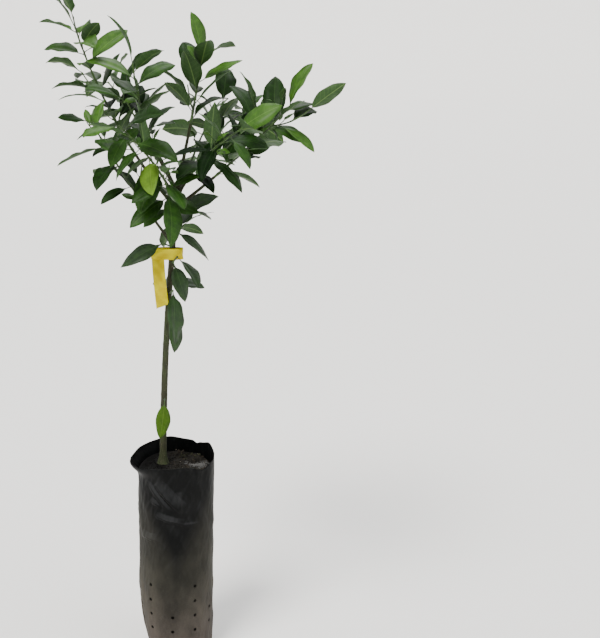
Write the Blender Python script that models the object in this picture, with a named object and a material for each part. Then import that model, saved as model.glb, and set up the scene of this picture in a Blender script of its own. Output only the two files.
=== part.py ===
"""A young sweet orange tree in the black film bag that it was raised in.

Metres, +Z up, +X to the viewer's right and +Y away from the viewer. The origin is the middle of the
flat underside of the bag. The trunk carries limbs. Each limb is a bare bough and then, past a hair
gap, a leafy stem with its side twigs and leaves fused on. Short spurs stand on the trunk itself.
"""

import math
import random
from dataclasses import dataclass, field

import bmesh
import bpy
from mathutils import Quaternion, Vector
from mathutils.bvhtree import BVHTree

# Gap between neighbours that touch on the real plant
CLEARANCE = 0.0003

# Bag
BAG_HEIGHT = 0.320
BAG_RADIUS = 0.0555
BAG_WALL = 0.0010
BAG_SIDES = 32
BAG_FOLD = 0.0011
LIP_HEIGHT = 0.034
LIP_FLARE = 0.0125
LIP_DROP = 0.006
CORNER_HEIGHT = 0.022
CORNER_INSET = 0.006
SLACK_CORNER_HEIGHT = 0.062
SLACK_CORNER_INSET = 0.013
SLACK_DEGREES = 188.0

# Drain holes, in rows round the lower part of the bag
HOLE_RADIUS = 0.0025
HOLE_ROWS = 10
HOLE_PITCH = 0.0240
HOLE_LOWEST = 0.057
FIRST_ROW_DEGREES = -95.0

# Soil
SOIL_LEVEL = 0.304
SOIL_BRIM = 0.302
SOIL_SEAT = 0.022
SOIL_UNEVEN = 0.0035
SOIL_RINGS = 5

# Trunk: the foot, the waist and the fork are places on its centre line
TRUNK_FOOT = Vector((-0.019, 0.004, SOIL_LEVEL))
TRUNK_WAIST = Vector((-0.0135, 0.004, 0.500))
TRUNK_FORK = Vector((0.0045, 0.0, 0.7260))
TRUNK_FLARE_RADIUS = 0.0095
TRUNK_RADIUS = 0.0052
TRUNK_FORK_RADIUS = 0.0038
FLARE_HEIGHT = 0.020
TRUNK_SIDES = 12
TRUNK_STEPS = 22

# Limbs
BOUGH_SIDES = 8
STEM_SIDES = 6
TWIG_SIDES = 5
LIMB_STEPS = 18
SPUR_STEPS = 5
LIMB_TIP_RADIUS = 0.0010
TWIG_RADIUS = 0.0011
TWIG_TIP_RADIUS = 0.0009
TWIG_LENGTH = 0.050
TWIG_STEPS = 6
TWIG_RISE = 0.35
TWIG_LEAVES = 3
TWIG_LOWEST = 0.24
TWIG_SPACING = 0.26
FIRST_TWIG_TURN = 70.0
TWIG_TURN = 150.0
TWIG_DRAWS = 900
ROOT_SINK = 0.0014

# Leaves
LEAF_TURN = 135.0
LEAF_ASPECT = 0.48
LEAF_THICKNESS = 0.0011
LEAF_WIDEST_AT = 0.42
LEAF_TAPER = 1.05
PETIOLE_LENGTH = 0.010
PETIOLE_RADIUS = 0.00062
BLADE_STATIONS = (0.03, 0.16, 0.38, 0.62, 0.83)
LEAF_MARGIN = 0.0009
LEAF_TRIES = 15
RETRY_TURN = 12.0

# Label tape
TAPE_WIDTH = 0.016
TAPE_THICKNESS = 0.0008
TAPE_TOP = 0.6285
TAPE_RIGHT = 0.0100
TAPE_LEFT = -0.0345
TAPE_DEPTH = 0.0062
TAIL_WIDTH = 0.0175
TAIL_LENGTH = 0.084
TAIL_SWING = 0.007
TAIL_FORWARD = 0.0066
TAIL_STEPS = 6


@dataclass(frozen=True)
class Limb:
    """One limb: where it leaves the trunk, where its tip is and how it is clothed.

    Lean is the angle from upright at which it sets out. Bare is the share that is a leafless bough.
    Roll turns the first leaf round the stem. Droop pulls leaves down, or lifts them where it is below
    zero. Seed is the row's number, from which leaves and side twigs take their small differences.
    """

    name: str
    height: float
    tip: tuple
    lean: float
    bare: float
    radius: float
    leaf_count: int
    leaf_length: float
    roll: float
    droop: float
    seed: int
    twigs: int = 0


@dataclass(frozen=True)
class Leaf:
    """One leaf: its root on the stem's centre line, the way it reaches and the way it faces."""

    root: Vector
    reach: Vector
    face: Vector
    length: float
    width: float
    fold: float
    curl: float
    petiole: float
    tone: float


@dataclass
class Shoot:
    """A limb as grown: the centre lines and radii of its parts, and its leaves."""

    limb: Limb
    bough: list
    stem: list
    bough_radii: list
    stem_radii: list
    twigs: list
    leaves: list = field(default_factory=list)


LIMBS = (
    Limb("left_low", 0.633, (-0.110, -0.055, 0.808), 38, 0.36, 0.0021, 11, 0.050, 180, 0.3, 1, 1),
    Limb("left_high", 0.684, (-0.136, 0.030, 0.926), 42, 0.34, 0.0024, 14, 0.056, 180, 0.0, 2, 3),
    Limb("left_front", 0.694, (-0.070, -0.140, 0.812), 44, 0.30, 0.0020, 11, 0.054, 90, 0.4, 3, 1),
    Limb("left_back", 0.706, (-0.100, 0.150, 0.845), 42, 0.33, 0.0020, 11, 0.052, 180, 0.1, 4, 1),
    Limb("centre_left", 0.708, (-0.056, -0.050, 0.882), 40, 0.44, 0.0021, 11, 0.058, 45, 0.1, 5, 1),
    Limb("leader", 0.726, (0.036, 0.045, 0.888), 22, 0.46, 0.0026, 10, 0.060, 90, -0.3, 6, 1),
    Limb("right", 0.686, (0.150, -0.030, 0.825), 52, 0.36, 0.0024, 13, 0.056, 90, -0.2, 7, 3),
    Limb("right_front", 0.702, (0.078, -0.150, 0.808), 46, 0.30, 0.0020, 11, 0.052, 90, 0.2, 8, 1),
    Limb("right_back", 0.711, (0.126, 0.145, 0.806), 50, 0.33, 0.0020, 11, 0.052, 180, 0.0, 9, 1),
    Limb("back", 0.690, (0.060, 0.165, 0.806), 46, 0.33, 0.0020, 10, 0.054, 0, 0.1, 10, 1),
    Limb("front", 0.668, (-0.016, -0.120, 0.748), 55, 0.30, 0.0018, 8, 0.056, 45, 0.4, 11),
)

SPURS = (
    Limb("spur_base", 0.402, (-0.0160, -0.010, 0.409), 60, 0.0, 0.0012, 1, 0.052, 0, 2.2, 12),
    Limb("spur_low", 0.532, (-0.0020, -0.012, 0.540), 60, 0.0, 0.0014, 1, 0.056, 0, 1.6, 13),
    Limb("spur_mid", 0.562, (-0.0040, -0.013, 0.571), 60, 0.0, 0.0014, 1, 0.060, 0, 1.4, 14),
    Limb("spur_back_low", 0.570, (-0.012, 0.022, 0.582), 60, 0.0, 0.0013, 2, 0.050, 315, 0.6, 15),
    Limb("spur_front", 0.606, (0.002, -0.015, 0.620), 60, 0.0, 0.0014, 2, 0.068, 90, 1.0, 16),
    Limb("spur_left", 0.630, (-0.0185, -0.010, 0.638), 70, 0.0, 0.0013, 1, 0.056, 0, 0.8, 17),
    Limb("spur_right", 0.650, (0.012, 0.002, 0.662), 60, 0.0, 0.0013, 3, 0.054, 90, 0.2, 18),
    Limb("spur_back", 0.655, (-0.002, 0.022, 0.670), 60, 0.0, 0.0013, 3, 0.054, 0, 0.4, 19),
    Limb("spur_collar", 0.672, (0.012, -0.014, 0.686), 60, 0.0, 0.0013, 3, 0.056, 180, 0.2, 20),
)


def smooth(share):
    """Rises from 0 to 1 with level ends as share goes from 0 to 1."""
    share = min(1.0, max(0.0, share))
    return share * share * (3 - 2 * share)


def on_curve(start, bend, end, share):
    """A point on the quadratic curve from start to end that sets out towards bend."""
    rest = 1 - share
    return start * (rest * rest) + bend * (2 * rest * share) + end * (share * share)


def heading(path, index):
    """The unit direction of a path at one of its points."""
    before = path[max(0, index - 1)]
    after = path[min(len(path) - 1, index + 1)]
    return (after - before).normalized()


def across(direction):
    """A steady unit vector square to direction, level where it can be."""
    side = direction.cross(Vector((0, 0, 1)))
    if side.length < 0.05:
        side = direction.cross(Vector((1, 0, 0)))
    return side.normalized()


def taper(first, last, count):
    """Radii that shrink evenly along a path of count points."""
    return [first + (last - first) * step / (count - 1) for step in range(count)]


# Trunk and limbs as centre lines and radii


def trunk_point(height):
    """The trunk's centre at a height, on the curve from its foot past its waist to its fork."""
    span = TRUNK_FORK.z - TRUNK_FOOT.z
    at = (TRUNK_WAIST.z - TRUNK_FOOT.z) / span
    ends = TRUNK_FOOT * (1 - at) ** 2 + TRUNK_FORK * at**2
    bend = (TRUNK_WAIST - ends) / (2 * at * (1 - at))
    point = on_curve(TRUNK_FOOT, bend, TRUNK_FORK, (height - TRUNK_FOOT.z) / span)
    return Vector((point.x, point.y, height))


def trunk_radius(height):
    """The trunk's radius at a height: the root flare, then an even taper."""
    share = (height - TRUNK_FOOT.z) / (TRUNK_FORK.z - TRUNK_FOOT.z)
    even = TRUNK_RADIUS + (TRUNK_FORK_RADIUS - TRUNK_RADIUS) * share
    flare = max(0.0, 1 - (height - TRUNK_FOOT.z) / FLARE_HEIGHT)
    return even + (TRUNK_FLARE_RADIUS - TRUNK_RADIUS) * flare**2.2


def limb_path(limb):
    """The limb's centre line, from the middle of the trunk to its tip."""
    start = trunk_point(limb.height)
    end = Vector(limb.tip)
    level = Vector((end.x - start.x, end.y - start.y, 0)).normalized()
    lean = math.radians(limb.lean)
    set_out = level * math.sin(lean) + Vector((0, 0, math.cos(lean)))
    bend = start + set_out * (0.5 * (end - start).length)
    steps = LIMB_STEPS if limb.bare else SPUR_STEPS
    return [on_curve(start, bend, end, step / steps) for step in range(steps + 1)]


def twig_path(limb, stem, number):
    """One of a leafy stem's side twigs: it leaves the stem and turns up to the light."""
    rng = random.Random(1000 * limb.seed + TWIG_DRAWS + number)
    share = TWIG_LOWEST + TWIG_SPACING * number + rng.uniform(-0.04, 0.04)
    roll = limb.roll + FIRST_TWIG_TURN + TWIG_TURN * number + rng.uniform(-20, 20)
    length = TWIG_LENGTH * rng.uniform(0.8, 1.2)
    index = round(share * (len(stem) - 1))
    along = heading(stem, index)
    out = Quaternion(along, math.radians(roll)) @ across(along)
    set_out = (along + out).normalized()
    start = stem[index]
    bend = start + set_out * (0.5 * length)
    end = start + (set_out + Vector((0, 0, TWIG_RISE))).normalized() * length
    return [on_curve(start, bend, end, step / TWIG_STEPS) for step in range(TWIG_STEPS + 1)]


def new_shoot(limb):
    """The limb's bough, stem and side twigs, before it has leaves. A spur has no bough."""
    path = limb_path(limb)
    radii = taper(limb.radius, LIMB_TIP_RADIUS, len(path))
    cut = round(limb.bare * LIMB_STEPS)
    stem = path[cut:]
    twigs = [twig_path(limb, stem, number) for number in range(limb.twigs)]
    return Shoot(limb, path[: cut + 1], stem, radii[: cut + 1], radii[cut:], twigs)


# Leaves


def half_width(share):
    """The leaf's half width at a share of its length, as a part of its greatest half width."""
    rise = LEAF_TAPER * LEAF_WIDEST_AT / (1 - LEAF_WIDEST_AT)
    peak = LEAF_WIDEST_AT**rise * (1 - LEAF_WIDEST_AT) ** LEAF_TAPER
    return share**rise * (1 - share) ** LEAF_TAPER / peak


def midrib(leaf, share):
    """(point, reach, face) on the midrib at a share of the blade's length."""
    turned = leaf.curl * share
    reach = leaf.reach * math.cos(turned) - leaf.face * math.sin(turned)
    face = leaf.face * math.cos(turned) + leaf.reach * math.sin(turned)
    run = leaf.length * math.sin(turned) / leaf.curl
    drop = leaf.length * (1 - math.cos(turned)) / leaf.curl
    start = leaf.root + leaf.reach * leaf.petiole
    return start + leaf.reach * run - leaf.face * drop, reach, face


def blade_ring(leaf, share):
    """Four points round the blade: one edge, the top of the midrib, the other edge, its underside."""
    point, reach, face = midrib(leaf, share)
    half = 0.5 * leaf.width * half_width(share)
    edge = reach.cross(face) * (half * math.cos(leaf.fold))
    lift = face * (half * math.sin(leaf.fold))
    rib = face * (0.5 * LEAF_THICKNESS)
    return [point - edge + lift, point + rib, point + edge + lift, point - rib]


def petiole_ring(leaf, share, radius=PETIOLE_RADIUS):
    """Four points round the leaf's stalk at a share of its length."""
    side = leaf.reach.cross(leaf.face)
    centre = leaf.root + leaf.reach * (leaf.petiole * share)
    return [centre + span * radius for span in (-side, leaf.face, side, -leaf.face)]


def leaf_body(leaf):
    """The leaf as a closed body, from inside the stem to its point."""
    rings = [petiole_ring(leaf, 0.0), petiole_ring(leaf, 0.85)]
    rings += [blade_ring(leaf, share) for share in BLADE_STATIONS]
    return lofted(rings, midrib(leaf, 1.0)[0])


def leaf_space(leaf):
    """The space that a leaf's blade needs: a body wider and thicker than the blade on all sides."""
    rings = []
    for share in (0.0, 0.16, 0.38, 0.62, 0.83, 1.0):
        point, reach, face = midrib(leaf, share)
        half = 0.5 * leaf.width * half_width(share) + 2 * LEAF_MARGIN
        edge = reach.cross(face) * (half * math.cos(leaf.fold))
        lift = face * (half * math.sin(leaf.fold))
        room = face * (0.5 * LEAF_THICKNESS + LEAF_MARGIN)
        upper = [point - edge + lift + room, point + room, point + edge + lift + room]
        lower = [point + edge + lift - room, point - room, point - edge + lift - room]
        rings.append(upper + lower)
    return lofted(rings)


def stalk_space(leaf):
    """The space that the outer part of a leaf's stalk needs."""
    radius = PETIOLE_RADIUS + LEAF_MARGIN / 2
    return lofted([petiole_ring(leaf, share, radius) for share in (0.5, 1.0)])


def leaf_root(stem, count, index):
    """(place on the stem, direction of the stem, whether it is the last leaf) for one leaf."""
    last = index == count - 1
    share = 1.0 if last else 1 - (1 - (index + 0.5) / count) ** 1.15
    at = share * (len(stem) - 1)
    step = min(int(at), len(stem) - 2)
    along = heading(stem, step)
    place = stem[step].lerp(stem[step + 1], at - step)
    if last:
        along = (stem[-1] - stem[-2]).normalized()
        place = place - along * ROOT_SINK
    return place, along, last


def grown_leaf(limb, stem, count, index, number, attempt):
    """The leaf at one joint of a stem. Each later attempt turns it further round the stem."""
    rng = random.Random(1000 * limb.seed + number)
    root, along, last = leaf_root(stem, count, index)
    turn = LEAF_TURN * index + limb.roll + rng.uniform(-18, 18)
    turn += RETRY_TURN * ((attempt + 1) // 2) * (-1) ** attempt
    out = Quaternion(along, math.radians(turn)) @ across(along)
    spread = math.radians(rng.uniform(8, 26) if last else rng.uniform(42, 66))
    reach = along * math.cos(spread) + out * math.sin(spread) - Vector((0, 0, limb.droop))
    reach.normalize()
    level = Vector((reach.x + 0.3 * along.x, reach.y + 0.3 * along.y, 0)).normalized()
    outward_face = level.cross(Vector((0, 0, 1))).cross(reach)
    towards_tip = along - reach * along.dot(reach)
    face = (outward_face.normalized() + towards_tip.normalized() * 0.6).normalized()
    face = Quaternion(reach, math.radians(rng.uniform(-34, 34))) @ face
    length = limb.leaf_length * rng.uniform(0.72, 1.22)
    return Leaf(
        root=root,
        reach=reach,
        face=face,
        length=length,
        width=length * LEAF_ASPECT * rng.uniform(0.84, 1.20),
        fold=math.radians(rng.uniform(6, 24)),
        curl=math.radians(rng.uniform(8, 56) / (1 + abs(limb.droop))),
        petiole=PETIOLE_LENGTH * rng.uniform(0.8, 1.2),
        tone=rng.random(),
    )


# Closed bodies


def lofted(rings, tip=None, split=False):
    """A closed body through rings of points, with a flat face on its ends or a point at the tip.

    A split body has triangles, cut the same way whether the rings run up or down. Its wall then
    follows the wall of a body inside it.
    """
    body = bmesh.new()
    loops = [[body.verts.new(point) for point in ring] for ring in rings]
    for first, second in zip(loops, loops[1:]):
        lower, upper = (first, second) if first[0].co.z < second[0].co.z else (second, first)
        for i, corner in enumerate(lower):
            j = (i + 1) % len(lower)
            if split:
                body.faces.new((corner, lower[j], upper[j]))
                body.faces.new((corner, upper[j], upper[i]))
            else:
                body.faces.new((corner, lower[j], upper[j], upper[i]))
    body.faces.new(loops[0])
    if tip is None:
        body.faces.new(loops[-1])
    else:
        point = body.verts.new(tip)
        for i, corner in enumerate(loops[-1]):
            body.faces.new((corner, loops[-1][(i + 1) % len(loops[-1])], point))
    bmesh.ops.recalc_face_normals(body, faces=body.faces)
    return body


def tube(path, radii, sides):
    """A closed round limb along a path, with one radius for each point."""
    rings = []
    side = across(heading(path, 0))
    for index, (centre, radius) in enumerate(zip(path, radii)):
        along = heading(path, index)
        side = (side - along * side.dot(along)).normalized()
        other = along.cross(side)
        turns = [math.tau * i / sides for i in range(sides)]
        rings.append([centre + (side * math.cos(a) + other * math.sin(a)) * radius for a in turns])
    return lofted(rings)


def as_object(body, name, material=None, smoothed=True):
    """Links a body into the scene as a named object."""
    mesh = bpy.data.meshes.new(name)
    body.to_mesh(mesh)
    body.free()
    if material:
        mesh.materials.append(material)
    if smoothed:
        mesh.shade_smooth()
        mesh.set_sharp_from_angle(angle=math.radians(50))
    made = bpy.data.objects.new(name, mesh)
    bpy.context.scene.collection.objects.link(made)
    return made


def tree_of(body):
    """A search tree of a body's faces, for testing what it touches. The body is freed."""
    found = BVHTree.FromBMesh(body)
    body.free()
    return found


# Growth: every stem, twig and leaf, placed in order


def twig_body(twig):
    """A side twig as a body."""
    return tube(twig, taper(TWIG_RADIUS, TWIG_TIP_RADIUS, len(twig)), TWIG_SIDES)


def wood_blocks(shoots):
    """Search trees of all that stands before the leaves, keyed by what it is."""
    blocks = {
        "trunk": tree_of(trunk_body()),
        "bag": tree_of(lofted(bag_rings())),
        "tape": tree_of(tape_band()),
        "tail": tree_of(tape_tail()),
    }
    for shoot in shoots:
        name = shoot.limb.name
        if shoot.limb.bare:
            blocks[name, "bough"] = tree_of(tube(shoot.bough, shoot.bough_radii, STEM_SIDES))
        blocks[name, -1] = tree_of(tube(shoot.stem, shoot.stem_radii, STEM_SIDES))
        for number, twig in enumerate(shoot.twigs):
            blocks[name, number] = tree_of(twig_body(twig))
    return blocks


def clothe(shoot, blocks):
    """Puts a shoot's leaves on, each where it is clear of all that stands already."""
    limb = shoot.limb
    joints = [(-1, shoot.stem, limb.leaf_count, i) for i in range(limb.leaf_count)]
    for number, twig in enumerate(shoot.twigs):
        joints += [(number, twig, TWIG_LEAVES, i) for i in range(TWIG_LEAVES)]
    for number, (part, path, count, index) in enumerate(joints):
        for attempt in range(LEAF_TRIES):
            leaf = grown_leaf(limb, path, count, index, number, attempt)
            blade = tree_of(leaf_space(leaf))
            stalk = tree_of(stalk_space(leaf))
            others = [tree for key, tree in blocks.items() if key != (limb.name, part)]
            clear_blade = not any(blade.overlap(tree) for tree in blocks.values())
            if clear_blade and not any(stalk.overlap(tree) for tree in others):
                blocks[limb.name, "leaf", number] = blade
                blocks[limb.name, "stalk", number] = stalk
                shoot.leaves.append(leaf)
                break


def grow():
    """Every shoot of the plant with its leaves."""
    shoots = [new_shoot(limb) for limb in LIMBS + SPURS]
    blocks = wood_blocks(shoots)
    for shoot in shoots:
        clothe(shoot, blocks)
    return shoots


# Bag and soil


def slack(turn):
    """How far a direction points to the slack, left side of the bag, from 0 to 1."""
    return max(0.0, math.cos(turn - math.radians(SLACK_DEGREES))) ** 1.5


def lip(height):
    """How far a height is into the bag's flared lip, from 0 to 1."""
    return smooth((height - (BAG_HEIGHT - LIP_HEIGHT)) / LIP_HEIGHT)


def bag_radius(turn, height):
    """The outer radius of the filled bag in one direction at one height."""
    corner = CORNER_HEIGHT + (SLACK_CORNER_HEIGHT - CORNER_HEIGHT) * slack(turn)
    inset = CORNER_INSET + (SLACK_CORNER_INSET - CORNER_INSET) * slack(turn)
    fall = max(0.0, 1 - height / corner)
    folds = math.sin(3 * turn + 9 * height) + 0.7 * math.sin(5 * turn - 14 * height + 1.0)
    filled = BAG_RADIUS - inset * (1 - math.sqrt(1 - fall * fall))
    return filled + BAG_FOLD * folds + LIP_FLARE * lip(height) ** 2 * slack(turn)


def bag_ring(height, inwards=0.0):
    """One ring of the bag at a height, set inwards by a distance."""
    ring = []
    for i in range(BAG_SIDES):
        turn = math.tau * i / BAG_SIDES
        radius = bag_radius(turn, height) - inwards
        z = height - LIP_DROP * lip(height) * slack(turn)
        ring.append(Vector((radius * math.cos(turn), radius * math.sin(turn), z)))
    return ring


def bag_heights(lowest):
    """Heights for rings: close in the bottom corner and under the lip, and one at the soil's brim."""
    shares = (0.0, 0.012, 0.035, 0.075, 0.13, 0.21, 0.35, 0.50, 0.65, 0.80, 0.90, 0.97, 1.0)
    return sorted([lowest + (BAG_HEIGHT - lowest) * share for share in shares] + [SOIL_BRIM])


def bag_rings():
    """The bag's rings: up its outside from the flat base, over the rim and down its inside."""
    outside = [bag_ring(height) for height in bag_heights(0.0)]
    inside = [bag_ring(height, BAG_WALL) for height in bag_heights(BAG_WALL)]
    return outside + inside[::-1]


def hole_places():
    """(turn, height) of each drain hole. The rows have two holes and four holes by turns."""
    places = []
    for row in range(HOLE_ROWS):
        turn = math.radians(FIRST_ROW_DEGREES) + math.tau * row / HOLE_ROWS
        for step in range(2 if row % 2 == 0 else 4):
            places.append((turn, HOLE_LOWEST + HOLE_PITCH * step))
    return places


def joined(objects, name):
    """One body that is the union of closed objects, made by a Boolean on a collection."""
    first, others = objects[0], objects[1:]
    if others:
        group = bpy.data.collections.new(name + "_pieces")
        for other in others:
            group.objects.link(other)
        union = first.modifiers.new("Join", "BOOLEAN")
        union.operation = "UNION"
        union.operand_type = "COLLECTION"
        union.collection = group
        union.solver = "EXACT"
        apply_modifiers(first)
        for other in others:
            bpy.data.objects.remove(other)
        bpy.data.collections.remove(group)
    first.name = name
    first.data.name = name
    return first


def apply_modifiers(target):
    """Replaces an object's mesh by the mesh that its modifiers make."""
    bpy.context.view_layer.update()
    graph = bpy.context.evaluated_depsgraph_get()
    made = bpy.data.meshes.new_from_object(target.evaluated_get(graph))
    target.modifiers.clear()
    target.data = made


def hidden_cutter(body, name):
    """A cutter, which shows as a wire and isn't part of the model."""
    cutter = as_object(body, name, smoothed=False)
    cutter.hide_render = True
    cutter.display_type = "WIRE"
    return cutter


def cut_by(target, cutter):
    """Takes a hidden cutter's volume out of an object."""
    cut = target.modifiers.new("Clear", "BOOLEAN")
    cut.operation = "DIFFERENCE"
    cut.solver = "EXACT"
    cut.object = cutter


def make_bag(material):
    """The bag: a thin round wall with a flat base, a flared lip and rows of drain holes."""
    bag = as_object(lofted(bag_rings(), split=True), "bag", material)
    drills = []
    for turn, height in hole_places():
        out = Vector((math.cos(turn), math.sin(turn), 0))
        middle = out * (bag_radius(turn, height) - BAG_WALL / 2) + Vector((0, 0, height))
        ends = [middle - out * 0.003, middle + out * 0.003]
        drills.append(hidden_cutter(tube(ends, [HOLE_RADIUS] * 2, 6), "drill"))
    cut_by(bag, joined(drills, "drain_holes"))


def soil_height(x, y):
    """The height of the soil's top at a place: lumpy, and level where the trunk stands."""
    away = math.hypot(x - TRUNK_FOOT.x, y - TRUNK_FOOT.y)
    lumps = math.sin(130 * x + 1.0) * math.sin(150 * y + 0.4) - 0.3
    return SOIL_LEVEL + SOIL_UNEVEN * lumps * smooth((away - SOIL_SEAT) / SOIL_SEAT)


def make_soil(material):
    """The soil: it fills the bag to just under its lip, and its top is uneven."""
    gap = BAG_WALL + CLEARANCE
    rings = [bag_ring(height, gap) for height in bag_heights(gap) if height <= SOIL_BRIM]
    brim = rings[-1]
    for step in range(1, SOIL_RINGS):
        share = 1 - step / SOIL_RINGS
        ring = [Vector((edge.x * share, edge.y * share, 0)) for edge in brim]
        for point in ring:
            point.z = soil_height(point.x, point.y)
        rings.append(ring)
    as_object(lofted(rings, split=True), "soil", material)


# Trunk, limbs and foliage


def trunk_body(grown_by=0.0):
    """The trunk as a body. As a cutter it is grown by a gap, in radius and at its top."""
    low, high = TRUNK_FOOT.z + CLEARANCE, TRUNK_FORK.z + grown_by
    heights = [low + (high - low) * (i / TRUNK_STEPS) ** 1.25 for i in range(TRUNK_STEPS + 1)]
    path = [trunk_point(height) for height in heights]
    return tube(path, [trunk_radius(height) + grown_by for height in heights], TRUNK_SIDES)


def stem_body(shoot):
    """The leafy part of a limb. Past a bough it starts a hair beyond the bough's end."""
    path = list(shoot.stem)
    if shoot.limb.bare:
        path[0] = path[0] + heading(path, 0) * CLEARANCE
    return tube(path, shoot.stem_radii, STEM_SIDES)


def make_tree(bark, leaf_skin):
    """The trunk, a bough for each limb and a leafy mass for each limb and spur."""
    as_object(trunk_body(), "trunk", bark)
    cutter = hidden_cutter(trunk_body(CLEARANCE), "trunk_clearance")
    for shoot in grow():
        name = shoot.limb.name
        pieces = [as_object(stem_body(shoot), "stem", leaf_skin)]
        pieces += [as_object(twig_body(twig), "twig", leaf_skin) for twig in shoot.twigs]
        pieces += [as_object(leaf_body(leaf), "leaf", leaf_skin) for leaf in shoot.leaves]
        if shoot.limb.bare:
            joined(pieces, "foliage_" + name)
            bough = tube(shoot.bough, shoot.bough_radii, BOUGH_SIDES)
            cut_by(as_object(bough, "bough_" + name, bark), cutter)
        else:
            cut_by(joined(pieces, name), cutter)


# Label tape


def strip(points, width, thickness=TAPE_THICKNESS):
    """A strip of tape on edge: a level line of points, given a width downwards."""
    rings = []
    for index, point in enumerate(points):
        along = heading(points, index)
        out = Vector((along.y, -along.x, 0)).normalized() * (thickness / 2)
        drop = Vector((0, 0, width))
        rings.append([point + out, point - out, point - out - drop, point + out - drop])
    return lofted(rings)


def tape_band():
    """The band: once round the trunk with some slack, its two ends laid together at the left."""
    centre = trunk_point(TAPE_TOP - TAPE_WIDTH / 2)
    left, right = TAPE_LEFT - centre.x, TAPE_RIGHT - centre.x
    line = [Vector((left, -TAPE_THICKNESS, 0)), Vector((left * 0.55, -TAPE_DEPTH * 0.8, 0))]
    for step in range(7):
        turn = math.radians(-90 + 30 * step)
        line.append(Vector((right * math.cos(turn), TAPE_DEPTH * math.sin(turn), 0)))
    line += [Vector((left * 0.55, TAPE_DEPTH * 0.8, 0)), Vector((left, TAPE_THICKNESS, 0))]
    top = Vector((centre.x, centre.y, TAPE_TOP))
    return strip([top + point for point in line], TAPE_WIDTH)


def tape_tail():
    """The tail: the tape's free end, folded down at the left and hanging past the trunk's front."""
    centre = trunk_point(TAPE_TOP)
    thick = Vector((0, TAPE_THICKNESS / 2, 0))
    rings = []
    for step in range(TAIL_STEPS + 1):
        share = step / TAIL_STEPS
        x = TAPE_LEFT + TAIL_WIDTH / 2 + TAIL_SWING * share**1.5
        y = centre.y - TAIL_FORWARD * smooth(1.6 * share)
        middle = Vector((x, y, TAPE_TOP - TAIL_LENGTH * share))
        half = Vector((TAIL_WIDTH / 2, -0.001, 0.002 * share))
        near, far = middle - thick, middle + thick
        rings.append([near - half, near + half, far + half, far - half])
    return lofted(rings)


def make_tape(material):
    """The label tape: band and tail as one body."""
    band = as_object(tape_band(), "band", material)
    tail = as_object(tape_tail(), "tail", material)
    joined([band, tail], "label_tape")


# Materials


def material(name, colour, roughness):
    """A plain Principled BSDF material."""
    made = bpy.data.materials.new(name)
    made.use_nodes = True
    shader = made.node_tree.nodes["Principled BSDF"]
    shader.inputs["Base Color"].default_value = (*colour, 1.0)
    shader.inputs["Roughness"].default_value = roughness
    shader.inputs["Metallic"].default_value = 0.0
    made.diffuse_color = (*colour, 1.0)
    return made


def main():
    """Clears the scene and builds the potted tree."""
    for old in list(bpy.data.objects):
        bpy.data.objects.remove(old)
    make_bag(material("black_film", (0.020, 0.020, 0.021), 0.38))
    make_soil(material("potting_soil", (0.030, 0.021, 0.014), 0.95))
    make_tree(
        material("young_bark", (0.085, 0.075, 0.040), 0.80),
        material("orange_leaf", (0.035, 0.120, 0.022), 0.42),
    )
    make_tape(material("yellow_tape", (0.78, 0.58, 0.03), 0.45))


if __name__ == "__main__":
    main()
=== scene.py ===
"""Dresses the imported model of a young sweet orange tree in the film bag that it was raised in.

Metres, +Z up, +X to the viewer's right and +Y away from the viewer. The leafy masses grow here by the
same rule, sizes and seeds as the solids, with a finer blade on each leaf and a rounder stem.
"""

import logging
import math
import random
from collections.abc import Callable, Sequence
from dataclasses import dataclass, field, replace
from enum import Enum
from functools import partial
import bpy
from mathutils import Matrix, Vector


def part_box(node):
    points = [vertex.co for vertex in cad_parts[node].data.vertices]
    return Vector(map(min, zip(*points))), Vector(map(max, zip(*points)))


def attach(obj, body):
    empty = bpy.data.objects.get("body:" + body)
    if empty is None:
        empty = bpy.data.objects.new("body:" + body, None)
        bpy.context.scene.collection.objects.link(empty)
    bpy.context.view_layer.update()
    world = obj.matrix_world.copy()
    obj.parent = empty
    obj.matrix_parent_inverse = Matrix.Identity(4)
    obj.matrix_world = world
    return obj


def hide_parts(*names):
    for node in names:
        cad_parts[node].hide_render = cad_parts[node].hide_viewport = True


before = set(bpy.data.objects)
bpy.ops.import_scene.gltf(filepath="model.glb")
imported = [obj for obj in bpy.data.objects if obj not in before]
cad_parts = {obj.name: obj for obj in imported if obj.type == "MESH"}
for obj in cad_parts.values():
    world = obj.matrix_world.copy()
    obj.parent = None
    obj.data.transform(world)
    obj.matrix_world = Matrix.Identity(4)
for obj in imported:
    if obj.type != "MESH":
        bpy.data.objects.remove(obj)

from types import SimpleNamespace

import bmesh
import bpy
import numpy as np
from mathutils import Quaternion, Vector
from mathutils.bvhtree import BVHTree

LOG = logging.getLogger("orange_tree")
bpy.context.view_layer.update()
BODY = "root"
MM = 0.001
CLEARANCE = 0.0003
UP = Vector((0, 0, 1)).freeze()
NEARLY_UPRIGHT = 0.05

Body = bmesh.types.BMesh
Piece = bpy.types.Object
Material = bpy.types.Material
Node = bpy.types.Node
Socket = bpy.types.NodeSocket
Path = Sequence[Vector]
Span = tuple[float, float]
Row = tuple[float, ...]
Rings = list[list[Vector]]
Field = float | np.ndarray
Add = Callable[..., Node]
Feeds = dict[str, object]


# Small geometry helpers


def smooth(share: Field) -> Field:
    """Rises from 0 to 1, with level ends, as share goes from 0 to 1."""
    share = np.clip(share, 0.0, 1.0)
    return share * share * (3 - 2 * share)


def round_turns(count: int) -> list[float]:
    """The directions of a ring's points, in radians from +X."""
    return [math.tau * i / count for i in range(count)]


def turned_from(turn: Field, degrees: float) -> Field:
    """How far a direction is turned from one in degrees: radians, from -pi to pi."""
    return (turn - math.radians(degrees) + math.pi) % math.tau - math.pi


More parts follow.
